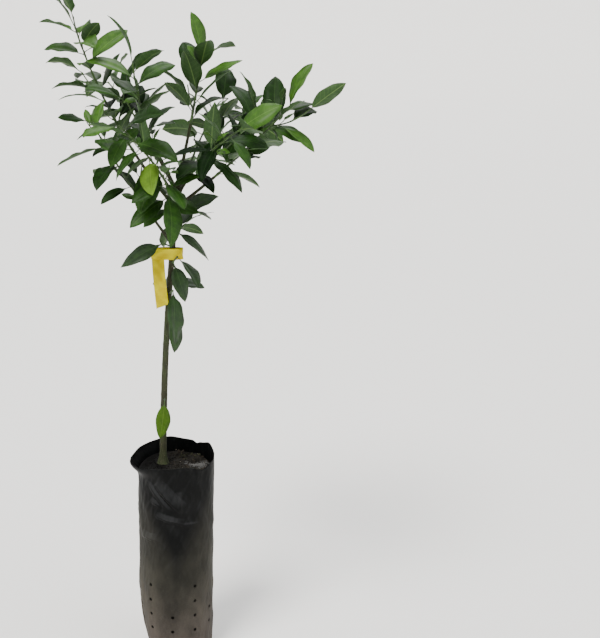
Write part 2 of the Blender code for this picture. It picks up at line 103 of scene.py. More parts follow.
def on_curve(start: Vector, bend: Vector, end: Vector, share: float) -> Vector:
    """A point on the quadratic curve from start to end that sets out towards bend."""
    rest = 1 - share
    return start * (rest * rest) + bend * (2 * rest * share) + end * (share * share)


def curve_path(start: Vector, bend: Vector, end: Vector, steps: int) -> list[Vector]:
    """The points of that curve, from start to end."""
    return [on_curve(start, bend, end, step / steps) for step in range(steps + 1)]


def heading(path: Path, index: int) -> Vector:
    """The unit direction of a path at one of its points."""
    before, after = path[max(0, index - 1)], path[min(len(path) - 1, index + 1)]
    return (after - before).normalized()


def across(direction: Vector) -> Vector:
    """A steady unit vector square to a unit direction, level where it can be."""
    side = direction.cross(UP)
    return (side if side.length >= NEARLY_UPRIGHT else direction.cross(Vector((1, 0, 0)))).normalized()


def out_of(along: Vector, degrees: float) -> Vector:
    """The unit vector out of a stem that runs along a direction, turned round it by an angle."""
    return Quaternion(along, math.radians(degrees)) @ across(along)


def add_walls(body: Body, loops: Sequence[Sequence[bmesh.types.BMVert]], facing_up: bool = False) -> None:
    """Joins each loop of corners to the next one by a ring of quads.

    Args:
        body: The body, which gets the quads.
        loops: Loops of as many corners each.
        facing_up: For loops that lie round each other, the inmost first: whether their faces look up.
    """
    for first, second in zip(loops, loops[1:]):
        for i, corner in enumerate(first):
            j = (i + 1) % len(first)
            quad = (corner, first[j], second[j], second[i])
            body.faces.new(quad[:1] + quad[:0:-1] if facing_up else quad)


def lofted(rings: Rings) -> Body:
    """A closed body through rings of points, flat at both ends.

    Args:
        rings: Rings of as many points each.

    Returns:
        The body.
    """
    body = bmesh.new()
    loops = [[body.verts.new(point) for point in ring] for ring in rings]
    add_walls(body, loops)
    body.faces.new(loops[0])
    body.faces.new(loops[-1])
    bmesh.ops.recalc_face_normals(body, faces=body.faces)
    return body


def tube(path: Path, radii: Sequence[float], sides: int) -> Body:
    """A closed round limb.

    Args:
        path: The centre line.
        radii: One radius for each point.
        sides: How many sides it has.

    Returns:
        The body.
    """
    rings = []
    side = across(heading(path, 0))
    for index, (centre, radius) in enumerate(zip(path, radii)):
        along = heading(path, index)
        side = (side - along * side.dot(along)).normalized()
        other = along.cross(side)
        spokes = [side * math.cos(turn) + other * math.sin(turn) for turn in round_turns(sides)]
        rings.append([centre + spoke * radius for spoke in spokes])
    return lofted(rings)


def join(body: Body, other: Body) -> None:
    """Adds another body's faces to a body.

    Args:
        body: The body, which gets the faces.
        other: The other body, which is freed.
    """
    mesh = bpy.data.meshes.new("joined")
    other.to_mesh(mesh)
    other.free()
    body.from_mesh(mesh)
    bpy.data.meshes.remove(mesh)


def tree_of(body: Body) -> BVHTree:
    """A search tree of a body's faces, for testing what it touches.

    Args:
        body: The body, which is freed.

    Returns:
        The search tree.
    """
    found = BVHTree.FromBMesh(body)
    body.free()
    return found


def solid_tree(node: str) -> BVHTree:
    """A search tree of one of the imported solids."""
    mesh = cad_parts[node].data
    return BVHTree.FromPolygons([v.co for v in mesh.vertices], [tuple(p.vertices) for p in mesh.polygons])


def clear_of(tree: BVHTree, blocks: dict, own: tuple | None = None) -> bool:
    """Whether a body is clear of all that stands, apart from the part that it grows on."""
    return not any(tree.overlap(other) for key, other in blocks.items() if key != own)


def ripple(x: Field, y: Field, z: Field, seed: float = 0.0) -> Field:
    """A smooth irregular field, from about -1 to 1, made of a few turned waves.

    Args:
        x: First coordinate, in wavelengths.
        y: Second coordinate.
        z: Third coordinate.
        seed: Shifts the field.

    Returns:
        The field's value.
    """
    a = np.sin(6.3 * x + 2.1 * np.sin(3.7 * y + seed) + seed)
    b = np.sin(5.1 * y + 1.9 * np.sin(4.3 * z + 1.7 * seed) + 2 * seed)
    c = np.sin(4.7 * z + 2.3 * np.sin(3.1 * x - seed) + 3 * seed)
    return (a + b + c) / 3


@dataclass(frozen=True)
class Strand:
    """A centre line with a girth at each point: round wood, before it has a skin."""

    path: list[Vector]
    girths: list[float]

    @classmethod
    def tapered(cls, path: list[Vector], first: float, last: float) -> "Strand":
        """A strand whose girth changes evenly from its first point to its last."""
        steps = len(path) - 1
        return cls(path, [first + (last - first) * step / steps for step in range(steps + 1)])

    def space(self, sides: int) -> BVHTree:
        """A search tree of the room that it takes, with so many sides."""
        return tree_of(tube(self.path, self.girths, sides))

    def finer(self, steps: int) -> "Strand":
        """The same strand with more points between each two.

        Args:
            steps: How many points stand for each one.

        Returns:
            The finer strand, smoothed by a spline through its points.
        """
        path, girths = [], []
        last = len(self.path) - 1
        for i in range(last):
            before, here = self.path[max(0, i - 1)], self.path[i]
            there, after = self.path[i + 1], self.path[min(last, i + 2)]
            for step in range(steps):
                t = step / steps
                bent = 2 * here + (there - before) * t + (2 * before - 5 * here + 4 * there - after) * t * t
                bent += (3 * here - before - 3 * there + after) * t**3
                path.append(bent * 0.5)
                girths.append(self.girths[i] * (1 - t) + self.girths[i + 1] * t)
        return Strand(path + [self.path[-1]], girths + [self.girths[-1]])


# What the solids are made by: the same sizes and rules, so that each piece lies where its solid is


@dataclass(frozen=True)
class Limb:
    """One limb: where it leaves the trunk, where its tip is and how it is clothed.

    Lean is the angle from upright at which it sets out. Bare is the share that is a leafless bough.
    Roll turns the first leaf round the stem. Droop pulls leaves down, or lifts them where it is below
    zero. Seed is the row's number, from which leaves and side twigs take their small differences.
    """

    name: str
    height: float
    tip: tuple[float, float, float]
    lean: float
    bare: float
    radius: float
    leaf_count: int
    leaf_length: float
    roll: float
    droop: float
    seed: int
    twigs: int = 0

    @property
    def node(self) -> str:
        """The name of the solid that holds this limb's leaves."""
        return "foliage_" + self.name if self.bare else self.name


@dataclass(frozen=True)
class Leaf:
    """One leaf: its root on the stem's centre line, the way it reaches and the way it faces."""

    root: Vector
    reach: Vector
    face: Vector
    length: float
    width: float
    fold: float
    curl: float
    petiole: float
    tone: float
    PETIOLE_RADIUS = 0.00062
    THICKNESS = 0.0011
    MARGIN = 0.0009
    WIDEST_AT = 0.42
    TAPER = 1.05
    SHARES = (0.0, 0.16, 0.38, 0.62, 0.83, 1.0)

    def midrib(self, share: float) -> tuple[Vector, Vector, Vector]:
        """A place on the midrib.

        Args:
            share: How far along the blade, from 0 to 1.

        Returns:
            The place, and the way the leaf reaches and faces there.
        """
        turned = self.curl * share
        reach = self.reach * math.cos(turned) - self.face * math.sin(turned)
        face = self.face * math.cos(turned) + self.reach * math.sin(turned)
        run = self.length * math.sin(turned) / self.curl
        drop = self.length * (1 - math.cos(turned)) / self.curl
        start = self.root + self.reach * self.petiole
        return start + self.reach * run - self.face * drop, reach, face

    def blade_space(self) -> BVHTree:
        """The space that the blade needs. Its half width rises and falls by powers.

        Returns:
            A search tree of the space.
        """
        rise = self.TAPER * self.WIDEST_AT / (1 - self.WIDEST_AT)
        peak = self.WIDEST_AT**rise * (1 - self.WIDEST_AT) ** self.TAPER
        rings = []
        for share in self.SHARES:
            point, reach, face = self.midrib(share)
            half = 0.5 * self.width * (share**rise * (1 - share) ** self.TAPER / peak) + 2 * self.MARGIN
            edge = reach.cross(face) * (half * math.cos(self.fold))
            lift = face * (half * math.sin(self.fold))
            room = face * (0.5 * self.THICKNESS + self.MARGIN)
            upper = [point - edge + lift + room, point + room, point + edge + lift + room]
            rings.append(upper + [corner - room * 2 for corner in upper[::-1]])
        return tree_of(lofted(rings))

    def stalk_space(self) -> BVHTree:
        """The space that the outer half of the stalk needs.

        Returns:
            A search tree of the space.
        """
        radius, side = self.PETIOLE_RADIUS + self.MARGIN / 2, self.reach.cross(self.face)
        spokes = [span * radius for span in (-side, self.face, side, -self.face)]
        centres = [self.root + self.reach * (self.petiole * share) for share in (0.5, 1.0)]
        return tree_of(lofted([[centre + spoke for spoke in spokes] for centre in centres]))


@dataclass
class Shoot:
    """A limb as grown: its bare bough, its leafy stem, its side twigs, its leaves and its twiglets."""

    limb: Limb
    bough: Strand
    stem: Strand
    twigs: list[Strand]
    leaves: list[Leaf] = field(default_factory=list)
    twiglets: list[Strand] = field(default_factory=list)


LIMBS: tuple[Limb, ...] = (
    Limb("left_low", 0.633, (-0.110, -0.055, 0.808), 38, 0.36, 0.0021, 11, 0.050, 180, 0.3, 1, 1),
    Limb("left_high", 0.684, (-0.136, 0.030, 0.926), 42, 0.34, 0.0024, 14, 0.056, 180, 0.0, 2, 3),
    Limb("left_front", 0.694, (-0.070, -0.140, 0.812), 44, 0.30, 0.0020, 11, 0.054, 90, 0.4, 3, 1),
    Limb("left_back", 0.706, (-0.100, 0.150, 0.845), 42, 0.33, 0.0020, 11, 0.052, 180, 0.1, 4, 1),
    Limb("centre_left", 0.708, (-0.056, -0.050, 0.882), 40, 0.44, 0.0021, 11, 0.058, 45, 0.1, 5, 1),
    Limb("leader", 0.726, (0.036, 0.045, 0.888), 22, 0.46, 0.0026, 10, 0.060, 90, -0.3, 6, 1),
    Limb("right", 0.686, (0.150, -0.030, 0.825), 52, 0.36, 0.0024, 13, 0.056, 90, -0.2, 7, 3),
    Limb("right_front", 0.702, (0.078, -0.150, 0.808), 46, 0.30, 0.0020, 11, 0.052, 90, 0.2, 8, 1),
    Limb("right_back", 0.711, (0.126, 0.145, 0.806), 50, 0.33, 0.0020, 11, 0.052, 180, 0.0, 9, 1),
    Limb("back", 0.690, (0.060, 0.165, 0.806), 46, 0.33, 0.0020, 10, 0.054, 0, 0.1, 10, 1),
    Limb("front", 0.668, (-0.016, -0.120, 0.748), 55, 0.30, 0.0018, 8, 0.056, 45, 0.4, 11),
)

SPURS: tuple[Limb, ...] = (
    Limb("spur_base", 0.402, (-0.0160, -0.010, 0.409), 60, 0.0, 0.0012, 1, 0.052, 0, 2.2, 12),
    Limb("spur_low", 0.532, (-0.0020, -0.012, 0.540), 60, 0.0, 0.0014, 1, 0.056, 0, 1.6, 13),
    Limb("spur_mid", 0.562, (-0.0040, -0.013, 0.571), 60, 0.0, 0.0014, 1, 0.060, 0, 1.4, 14),
    Limb("spur_back_low", 0.570, (-0.012, 0.022, 0.582), 60, 0.0, 0.0013, 2, 0.050, 315, 0.6, 15),
    Limb("spur_front", 0.606, (0.002, -0.015, 0.620), 60, 0.0, 0.0014, 2, 0.068, 90, 1.0, 16),
    Limb("spur_left", 0.630, (-0.0185, -0.010, 0.638), 70, 0.0, 0.0013, 1, 0.056, 0, 0.8, 17),
    Limb("spur_right", 0.650, (0.012, 0.002, 0.662), 60, 0.0, 0.0013, 3, 0.054, 90, 0.2, 18),
    Limb("spur_back", 0.655, (-0.002, 0.022, 0.670), 60, 0.0, 0.0013, 3, 0.054, 0, 0.4, 19),
    Limb("spur_collar", 0.672, (0.012, -0.014, 0.686), 60, 0.0, 0.0013, 3, 0.056, 180, 0.2, 20),
)


@dataclass(frozen=True)
class TrunkForm:
    """The trunk's sizes and its centre line."""

    foot: Vector = Vector((-0.019, 0.004, 0.304)).freeze()
    waist: Vector = Vector((-0.0135, 0.004, 0.500)).freeze()
    fork: Vector = Vector((0.0045, 0.0, 0.7260)).freeze()
    flare_radius: float = 0.0095
    foot_radius: float = 0.0052
    fork_radius: float = 0.0038
    flare_height: float = 0.020
    flare_power: float = 2.2

    def point(self, height: float) -> Vector:
        """The trunk's centre at a height.

        Args:
            height: Metres above the ground.

        Returns:
            The centre.
        """
        span = self.fork.z - self.foot.z
        at = (self.waist.z - self.foot.z) / span
        ends = self.foot * (1 - at) ** 2 + self.fork * at**2
        bend = (self.waist - ends) / (2 * at * (1 - at))
        point = on_curve(self.foot, bend, self.fork, (height - self.foot.z) / span)
        return Vector((point.x, point.y, height))

    def radius(self, height: float) -> float:
        """The trunk's radius at a height: the root flare, then an even taper.

        Args:
            height: Metres above the ground.

        Returns:
            The radius.
        """
        share = (height - self.foot.z) / (self.fork.z - self.foot.z)
        even = self.foot_radius + (self.fork_radius - self.foot_radius) * share
        flare = max(0.0, 1 - (height - self.foot.z) / self.flare_height)
        return even + (self.flare_radius - self.foot_radius) * flare**self.flare_power

    def heights(self, steps: int, crowding: float) -> list[float]:
        """Heights from the soil to the fork, crowded towards the foot."""
        low, high = self.foot.z + CLEARANCE, self.fork.z
        return [low + (high - low) * (i / steps) ** crowding for i in range(steps + 1)]


@dataclass(frozen=True)
class GrowthRule:
    """The seeded rule by which limbs, twigs and leaves grow.

    A pair is the range of a random draw, and a sway reaches so far to either side. Angles are in degrees.
    """

    trunk: TrunkForm
    stem_sides: int = 6
    twig_sides: int = 5
    limb_steps: int = 18
    spur_steps: int = 5
    tip_radius: float = 0.0010
    twig_radius: float = 0.0011
    twig_tip_radius: float = 0.0009
    twig_length: float = 0.050
    twig_steps: int = 6
    twig_rise: float = 0.35
    twig_leaves: int = 3
    twig_lowest: float = 0.24
    twig_spacing: float = 0.26
    twig_place_sway: float = 0.04
    first_twig_turn: float = 70.0
    twig_turn: float = 150.0
    twig_turn_sway: float = 20.0
    twig_draws: int = 900
    length_range: Span = (0.8, 1.2)
    root_sink: float = 0.0014
    tip_crowding: float = 1.15
    leaf_turn: float = 135.0
    leaf_turn_sway: float = 18.0
    tip_leaf_spread: Span = (8, 26)
    leaf_spread: Span = (42, 66)
    face_to_tip: float = 0.6
    face_sway: float = 34.0
    leaf_length_range: Span = (0.72, 1.22)
    leaf_width_range: Span = (0.84, 1.20)
    leaf_fold: Span = (6, 24)
    leaf_curl: Span = (8, 56)
    leaf_aspect: float = 0.48
    petiole_length: float = 0.010
    tries: int = 15
    retry_turn: float = 12.0
    twiglet_draws: int = 7000
    small_leaf_draws: int = 900
    twiglet_share: float = 0.20
    twiglet_length: float = 0.020
    twiglet_length_range: Span = (0.7, 1.3)
    twiglet_rise: float = 0.4
    twiglet_steps: int = 4
    twiglet_radius: float = 0.0007
    twiglet_tip_radius: float = 0.0005
    twiglet_leaves: int = 3
    twiglet_leaf: float = 0.40
    twiglet_petiole: float = 0.45

    def new_shoot(self, limb: Limb) -> Shoot:
        """The limb's bough, stem and side twigs, before it has leaves.

        Args:
            limb: The limb.

        Returns:
            The bare shoot.
        """
        start, end = self.trunk.point(limb.height), Vector(limb.tip)
        level = Vector((end.x - start.x, end.y - start.y, 0)).normalized()
        lean = math.radians(limb.lean)
        set_out = level * math.sin(lean) + UP * math.cos(lean)
        bend = start + set_out * (0.5 * (end - start).length)
        path = curve_path(start, bend, end, self.limb_steps if limb.bare else self.spur_steps)
        girths = Strand.tapered(path, limb.radius, self.tip_radius).girths
        cut = round(limb.bare * self.limb_steps)
        bough, stem = Strand(path[: cut + 1], girths[: cut + 1]), Strand(path[cut:], girths[cut:])
        return Shoot(limb, bough, stem, [self.twig(limb, stem.path, number) for number in range(limb.twigs)])

    def twig(self, limb: Limb, stem: list[Vector], number: int) -> Strand:
        """A side twig that leaves a leafy stem and turns up to the light.

        Args:
            limb: The limb that it grows on.
            stem: The stem's centre line.
            number: Which of the limb's side twigs it is, from 0.

        Returns:
            The twig.
        """
        rng = random.Random(1000 * limb.seed + self.twig_draws + number)
        share = self.twig_lowest + self.twig_spacing * number
        share += rng.uniform(-self.twig_place_sway, self.twig_place_sway)
        roll = limb.roll + self.first_twig_turn + self.twig_turn * number
        roll += rng.uniform(-self.twig_turn_sway, self.twig_turn_sway)
        length = self.twig_length * rng.uniform(*self.length_range)
        index = round(share * (len(stem) - 1))
        start, along = stem[index], heading(stem, index)
        set_out = (along + out_of(along, roll)).normalized()
        end = start + (set_out + UP * self.twig_rise).normalized() * length
        path = curve_path(start, start + set_out * (0.5 * length), end, self.twig_steps)
        return Strand.tapered(path, self.twig_radius, self.twig_tip_radius)

    def leaf_root(self, stem: list[Vector], count: int, index: int) -> tuple[Vector, Vector, bool]:
        """Where one leaf stands on a stem.

        Args:
            stem: The stem's centre line.
            count: How many leaves the stem has.
            index: Which leaf.

        Returns:
            Its place, the stem's direction there, and whether it is the last leaf.
        """
        last = index == count - 1
        share = 1.0 if last else 1 - (1 - (index + 0.5) / count) ** self.tip_crowding
        at = share * (len(stem) - 1)
        step = min(int(at), len(stem) - 2)
        along = heading(stem, step)
        place = stem[step].lerp(stem[step + 1], at - step)
        if last:
            along = (stem[-1] - stem[-2]).normalized()
            place = place - along * self.root_sink
        return place, along, last

    def grown_leaf(self, limb: Limb, joint: tuple[list[Vector], int, int], number: int, attempt: int) -> Leaf:
        """The leaf at one joint of a stem. Each later attempt turns it further round the stem.

        Args:
            limb: The limb that it grows on.
            joint: The centre line of its stem or twig, how many leaves that has, and which of them it is.
            number: Its number on the whole limb, which picks its random draws.
            attempt: How many places were taken already.

        Returns:
            The leaf.
        """
        rng = random.Random(1000 * limb.seed + number)
        root, along, last = self.leaf_root(*joint)
        turn = self.leaf_turn * joint[2] + limb.roll + rng.uniform(-self.leaf_turn_sway, self.leaf_turn_sway)
        turn += self.retry_turn * ((attempt + 1) // 2) * (-1) ** attempt
        spread = math.radians(rng.uniform(*(self.tip_leaf_spread if last else self.leaf_spread)))
        reach = along * math.cos(spread) + out_of(along, turn) * math.sin(spread) - UP * limb.droop
        reach.normalize()
        level = Vector((reach.x + 0.3 * along.x, reach.y + 0.3 * along.y, 0)).normalized()
        outward_face = level.cross(UP).cross(reach)
        towards_tip = along - reach * along.dot(reach)
        face = (outward_face.normalized() + towards_tip.normalized() * self.face_to_tip).normalized()
        face = Quaternion(reach, math.radians(rng.uniform(-self.face_sway, self.face_sway))) @ face
        length = limb.leaf_length * rng.uniform(*self.leaf_length_range)
        return Leaf(
            root, reach, face, length,
            width=length * self.leaf_aspect * rng.uniform(*self.leaf_width_range),
            fold=math.radians(rng.uniform(*self.leaf_fold)),
            curl=math.radians(rng.uniform(*self.leaf_curl) / (1 + abs(limb.droop))),
            petiole=self.petiole_length * rng.uniform(*self.length_range),
            tone=rng.random(),
        )

    def wood_blocks(self, shoots: list[Shoot]) -> dict:
        """Search trees of all that stands before the leaves, keyed by what it is.

        Args:
            shoots: The bare shoots.

        Returns:
            Key to search tree. A stem's key is its limb's name and -1, a twig's the name and its number.
        """
        boughs = ["bough_" + shoot.limb.name for shoot in shoots if shoot.limb.bare]
        blocks = {node: solid_tree(node) for node in ("trunk", "bag", "label_tape", *boughs)}
        for shoot in shoots:
            blocks[shoot.limb.name, -1] = shoot.stem.space(self.stem_sides)
            for number, twig in enumerate(shoot.twigs):
                blocks[shoot.limb.name, number] = twig.space(self.twig_sides)
        return blocks

    def clothe(self, shoot: Shoot, blocks: dict) -> None:
        """Puts a shoot's leaves on, each where it is clear of all that stands already.

        Args:
            shoot: The shoot, which gets its leaves.
            blocks: The search trees, which get the new leaves' too.
        """
        limb = shoot.limb
        joints = [(-1, (shoot.stem.path, limb.leaf_count, i)) for i in range(limb.leaf_count)]
        for part, twig in enumerate(shoot.twigs):
            joints += [(part, (twig.path, self.twig_leaves, i)) for i in range(self.twig_leaves)]
        for number, (part, joint) in enumerate(joints):
            for attempt in range(self.tries):
                leaf = self.grown_leaf(limb, joint, number, attempt)
                blade, stalk = leaf.blade_space(), leaf.stalk_space()
                if clear_of(blade, blocks) and clear_of(stalk, blocks, (limb.name, part)):
                    blocks[limb.name, "leaf", number] = blade
                    blocks[limb.name, "stalk", number] = stalk
                    shoot.leaves.append(leaf)
                    break

    def add_twiglets(self, shoot: Shoot, blocks: dict) -> None:
        """Grows short twiglets with small leaves from some joints, inside the mass's own box.

        Args:
            shoot: The shoot, which gets its twiglets and their leaves.
            blocks: The search trees, which get the new parts' too.
        """
        limb = shoot.limb
        rng = random.Random(self.twiglet_draws + limb.seed)
        for number in range(limb.leaf_count):
            wanted, roll, size = rng.random(), rng.uniform(0, 360), rng.uniform(*self.twiglet_length_range)
            if wanted > self.twiglet_share:
                continue
            root, along, _ = self.leaf_root(shoot.stem.path, limb.leaf_count, number)
            set_out = (along + out_of(along, roll) * 0.8).normalized()
            end = root + (set_out + UP * self.twiglet_rise).normalized() * (self.twiglet_length * size)
            bend = root.lerp(root + set_out * self.twiglet_length, 0.5)
            path = curve_path(root, bend, end, self.twiglet_steps)
            twiglet = Strand.tapered(path, self.twiglet_radius, self.twiglet_tip_radius)
            space = twiglet.space(self.twig_sides)
            if clear_of(space, blocks, (limb.name, -1)):
                blocks[limb.name, "twiglet", number] = space
                if self.clothe_twiglet(shoot, path, number, blocks):
                    shoot.twiglets.append(twiglet)

    def clothe_twiglet(self, shoot: Shoot, path: list[Vector], number: int, blocks: dict) -> bool:
        """Puts small leaves on a twiglet.

        Args:
            shoot: The shoot, which gets the leaves.
            path: The twiglet's centre line.
            number: The twiglet's number on the shoot.
            blocks: The search trees, which get the new leaves' too.

        Returns:
            Whether a leaf found room.
        """
        limb, before = shoot.limb, len(shoot.leaves)
        low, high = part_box(limb.node)
        seed = limb.seed + self.small_leaf_draws + number
        small = replace(limb, leaf_length=limb.leaf_length * self.twiglet_leaf, seed=seed)
        for index in range(self.twiglet_leaves):
            for attempt in range(self.tries):
                leaf = self.grown_leaf(small, (path, self.twiglet_leaves, index), index, attempt)
                leaf = replace(leaf, petiole=leaf.petiole * self.twiglet_petiole)
                blade, tip = leaf.blade_space(), leaf.midrib(1.0)[0]
                inside = all(low[i] < tip[i] < high[i] for i in range(3))
                if inside and clear_of(blade, blocks, (limb.name, "twiglet", number)):
                    blocks[limb.name, "small leaf", number, index] = blade
                    shoot.leaves.append(leaf)
                    break
        return len(shoot.leaves) > before

    def grow(self) -> list[Shoot]:
        """Grows the whole plant: every shoot with its leaves, and then the twiglets.

        Returns:
            The shoots, in the tables' order.
        """
        shoots = [self.new_shoot(limb) for limb in LIMBS + SPURS]
        blocks = self.wood_blocks(shoots)
        for shoot in shoots:
            self.clothe(shoot, blocks)
        for shoot in shoots[: len(LIMBS)]:
            self.add_twiglets(shoot, blocks)
        return shoots


# Building node trees


def linear(colour: str) -> tuple[float, ...]:
    """Turns an sRGB hex colour, such as "#2C5224", to linear red, green and blue with alpha 1."""
    parts = [int(colour[i : i + 2], 16) / 255 for i in (1, 3, 5)]
    return (*(c / 12.92 if c <= 0.04045 else ((c + 0.055) / 1.055) ** 2.4 for c in parts), 1.0)


class Kind:
    """A kind of node: its type, the inputs that its values feed in turn, and its settings."""

    def __init__(self, name: str, *inputs: str | int, **settings: str) -> None:
        """Notes the type name, the inputs, which are the first three if none is named, and the settings."""
        self.name, self.inputs, self.settings = name, inputs or (0, 1, 2), settings


PLUS, MINUS, TIMES, OVER, TIMES_PLUS, POWER, SINE, COSINE, ABSOLUTE, MAXIMUM, MINIMUM = (
    Kind("ShaderNodeMath", operation=mode)
    for mode in "ADD SUBTRACT MULTIPLY DIVIDE MULTIPLY_ADD POWER SINE COSINE ABSOLUTE MAXIMUM MINIMUM".split()
)
V_MINUS, V_TIMES, V_TIMES_PLUS, V_CROSS, V_AWAY = (
    Kind("ShaderNodeVectorMath", operation=mode)
    for mode in "SUBTRACT MULTIPLY MULTIPLY_ADD CROSS_PRODUCT DISTANCE".split()
)
V_SCALE = Kind("ShaderNodeVectorMath", 0, "Scale", operation="SCALE")
ROTATE = Kind("ShaderNodeVectorRotate", "Vector", "Axis", "Angle")
SPLIT = Kind("ShaderNodeSeparateXYZ")
RANGE = Kind("ShaderNodeMapRange", "Value", "From Min", "From Max", "To Min", "To Max")
NOISE = Kind("ShaderNodeTexNoise", "Vector", "Scale", "Detail")
MIX = Kind("ShaderNodeMix", 0, 6, 7, data_type="RGBA")
MAPPING = Kind("ShaderNodeMapping", "Vector", "Scale")
BUMP = Kind("ShaderNodeBump", "Height", "Distance")
NAMED = Kind("GeometryNodeInputNamedAttribute", "Name", data_type="FLOAT_VECTOR")
STORE = Kind("GeometryNodeStoreNamedAttribute", "Geometry", "Name", "Value")
SCATTER = Kind("GeometryNodeInstanceOnPoints", "Points", "Instance", "Rotation", "Scale")
RANDOM = Kind("FunctionNodeRandomValue", 0, 1, "Seed", data_type="FLOAT_VECTOR")
COMPARE = Kind("FunctionNodeCompare", 0, 1, "Epsilon", data_type="FLOAT")
MOVE = Kind("GeometryNodeSetPosition", "Geometry", "Offset")
PAINT = Kind("GeometryNodeSetMaterial", "Geometry", "Material", "Selection")
SOFTEN = Kind("GeometryNodeSetShadeSmooth")
REALIZE = Kind("GeometryNodeRealizeInstances")
PLACE = Kind("GeometryNodeInputPosition")


def plug(socket: Socket, value: object) -> None:
    """Feeds an input.

    Args:
        socket: The input.
        value: A socket, a node, for its first live output, a hex colour or another value.
    """
    if isinstance(value, Node):
        value = next(found for found in value.outputs if found.enabled)
    if isinstance(value, Socket):
        socket.id_data.links.new(value, socket)
    else:
        socket.default_value = linear(value) if str(value).startswith("#") else value


def add_node(tree: bpy.types.NodeTree, kind: Kind | str, *feeds: object, **settings: object) -> Node:
    """Adds a node with its settings and its inputs.

    Args:
        tree: The node tree.
        kind: The kind of node, or the type name of one that comes up once.
        *feeds: What feeds the kind's inputs in turn, or one dict of input names to what feeds them.
        **settings: The node's own attributes, past the kind's.

    Returns:
        The node.
    """
    kind = kind if isinstance(kind, Kind) else Kind(kind)
    node = tree.nodes.new(kind.name)
    for name, value in {**kind.settings, **settings}.items():
        setattr(node, name, value)
    named = feeds[0] if feeds and isinstance(feeds[0], dict) else dict(zip(kind.inputs, feeds))
    for key, value in named.items():
        plug(node.inputs[key], value)
    return node


# Finishes


@dataclass(frozen=True)
class Finish:
    """What every finish has: the real material's name, roughness, index of refraction and shine.

    A finish's pattern is given the function that adds a node and the place on the object.
    """

    name: str
    roughness: float
    ior: float = 1.5
    specular: float = 0.5

    def pattern(self, add: Add, place: Socket) -> Feeds:
        """What feeds the shader's sockets, by name. Each finish has its own."""
        raise NotImplementedError

    def make(self) -> Material:
        """Builds the material.

        Returns:
            The material.
        """
        made = bpy.data.materials.new(self.name)
        made.use_nodes = True
        sockets = made.node_tree.nodes["Principled BSDF"].inputs
        add = partial(add_node, made.node_tree)
        feeds = {"Roughness": self.roughness, "IOR": self.ior, "Specular IOR Level": self.specular}
        feeds.update(self.pattern(add, add("ShaderNodeTexCoord").outputs["Object"]))
        for name, value in feeds.items():
            plug(sockets[name], value)
        return made


@dataclass(frozen=True)
class LeafSkin(Finish):
    """The waxy upper skin of a citrus leaf.

    It gives the eye a deep green with a soft sheen, a thin paler midrib and side veins that only just
    show. Its UV runs from edge to edge in U and from stalk to tip in V, and rib widths are in U.
    """

    blade: str = "#2C5224"
    shade: str = "#1D3C1B"
    vein: str = "#57763F"
    side_veins: float = 9.0
    vein_slant: float = 0.15
    vein_edge: float = 0.90
    vein_share: float = 0.12
    vein_relief: float = -0.5 / 0.12
    rib_at_stalk: float = 0.026
    rib_at_tip: float = 0.008
    rib_core: float = 0.003
    rib_share: float = 0.5
    mottle_mm: float = 9.0
    mottle_span: Span = (0.34, 0.68)
    grain_mm: float = 1.2
    grain_detail: float = 2.0
    relief_mm: float = 0.06
    sheen: Span = (-0.08, 0.10)

    def pattern(self, add: Add, place: Socket) -> Feeds:
        """Mottled green, with the midrib, the side veins and a fine grain.

        Args:
            add: Adds a node.
            place: The place on the object.

        Returns:
            What feeds the shader, by socket.
        """
        u, v, _ = add(SPLIT, add("ShaderNodeUVMap")).outputs
        out = add(ABSOLUTE, add(MINUS, u, 0.5))
        rib = add(RANGE, out, add(RANGE, v, 0.0, 1.0, self.rib_at_stalk, self.rib_at_tip), self.rib_core)
        lean = add(TIMES_PLUS, out, -2 * self.vein_slant, v)
        wave = add(SINE, add(TIMES, lean, self.side_veins * math.tau))
        vein = add(RANGE, wave, self.vein_edge, 1.0, 0.0, self.vein_share)
        patches = add(NOISE, place, 1000 / self.mottle_mm, 3.0)
        body = add(MIX, add(RANGE, patches, *self.mottle_span), self.shade, self.blade)
        colour = add(MIX, add(TIMES, rib, self.rib_share), add(MIX, vein, body, self.vein), self.vein)
        grain = add(NOISE, place, 1000 / self.grain_mm, self.grain_detail)
        relief = add(BUMP, add(TIMES_PLUS, vein, self.vein_relief, grain), self.relief_mm * MM)
        worn = add(RANGE, patches, 0.0, 1.0, *(self.roughness + change for change in self.sheen))
        return {"Base Color": colour, "Normal": relief, "Roughness": worn}


@dataclass(frozen=True)
class GreenShoot(Finish):
    """The skin of this year's twigs, leaf stalks and buds: smooth, green, a little waxy."""

    name: str = "green_shoot_skin"
    roughness: float = 0.5
    specular: float = 0.3
    young: str = "#3A5522"
    older: str = "#23301A"
    patch_mm: float = 14.0
    grain_mm: float = 0.8
    relief_mm: float = 0.07

    def pattern(self, add: Add, place: Socket) -> Feeds:
        """Patches of younger and older green, with a grain along the twig.

        Args:
            add: Adds a node.
            place: The place on the object.

        Returns:
            What feeds the shader, by socket.
        """
        patches = add(NOISE, place, 1000 / self.patch_mm, 4.0)
        colour = add(MIX, add(RANGE, patches, 0.36, 0.66), self.older, self.young)
        grain = add(NOISE, add(MAPPING, place, (1.0, 1.0, 0.3)), 1000 / self.grain_mm, 2.0)
        return {"Base Color": colour, "Normal": add(BUMP, grain, self.relief_mm * MM)}


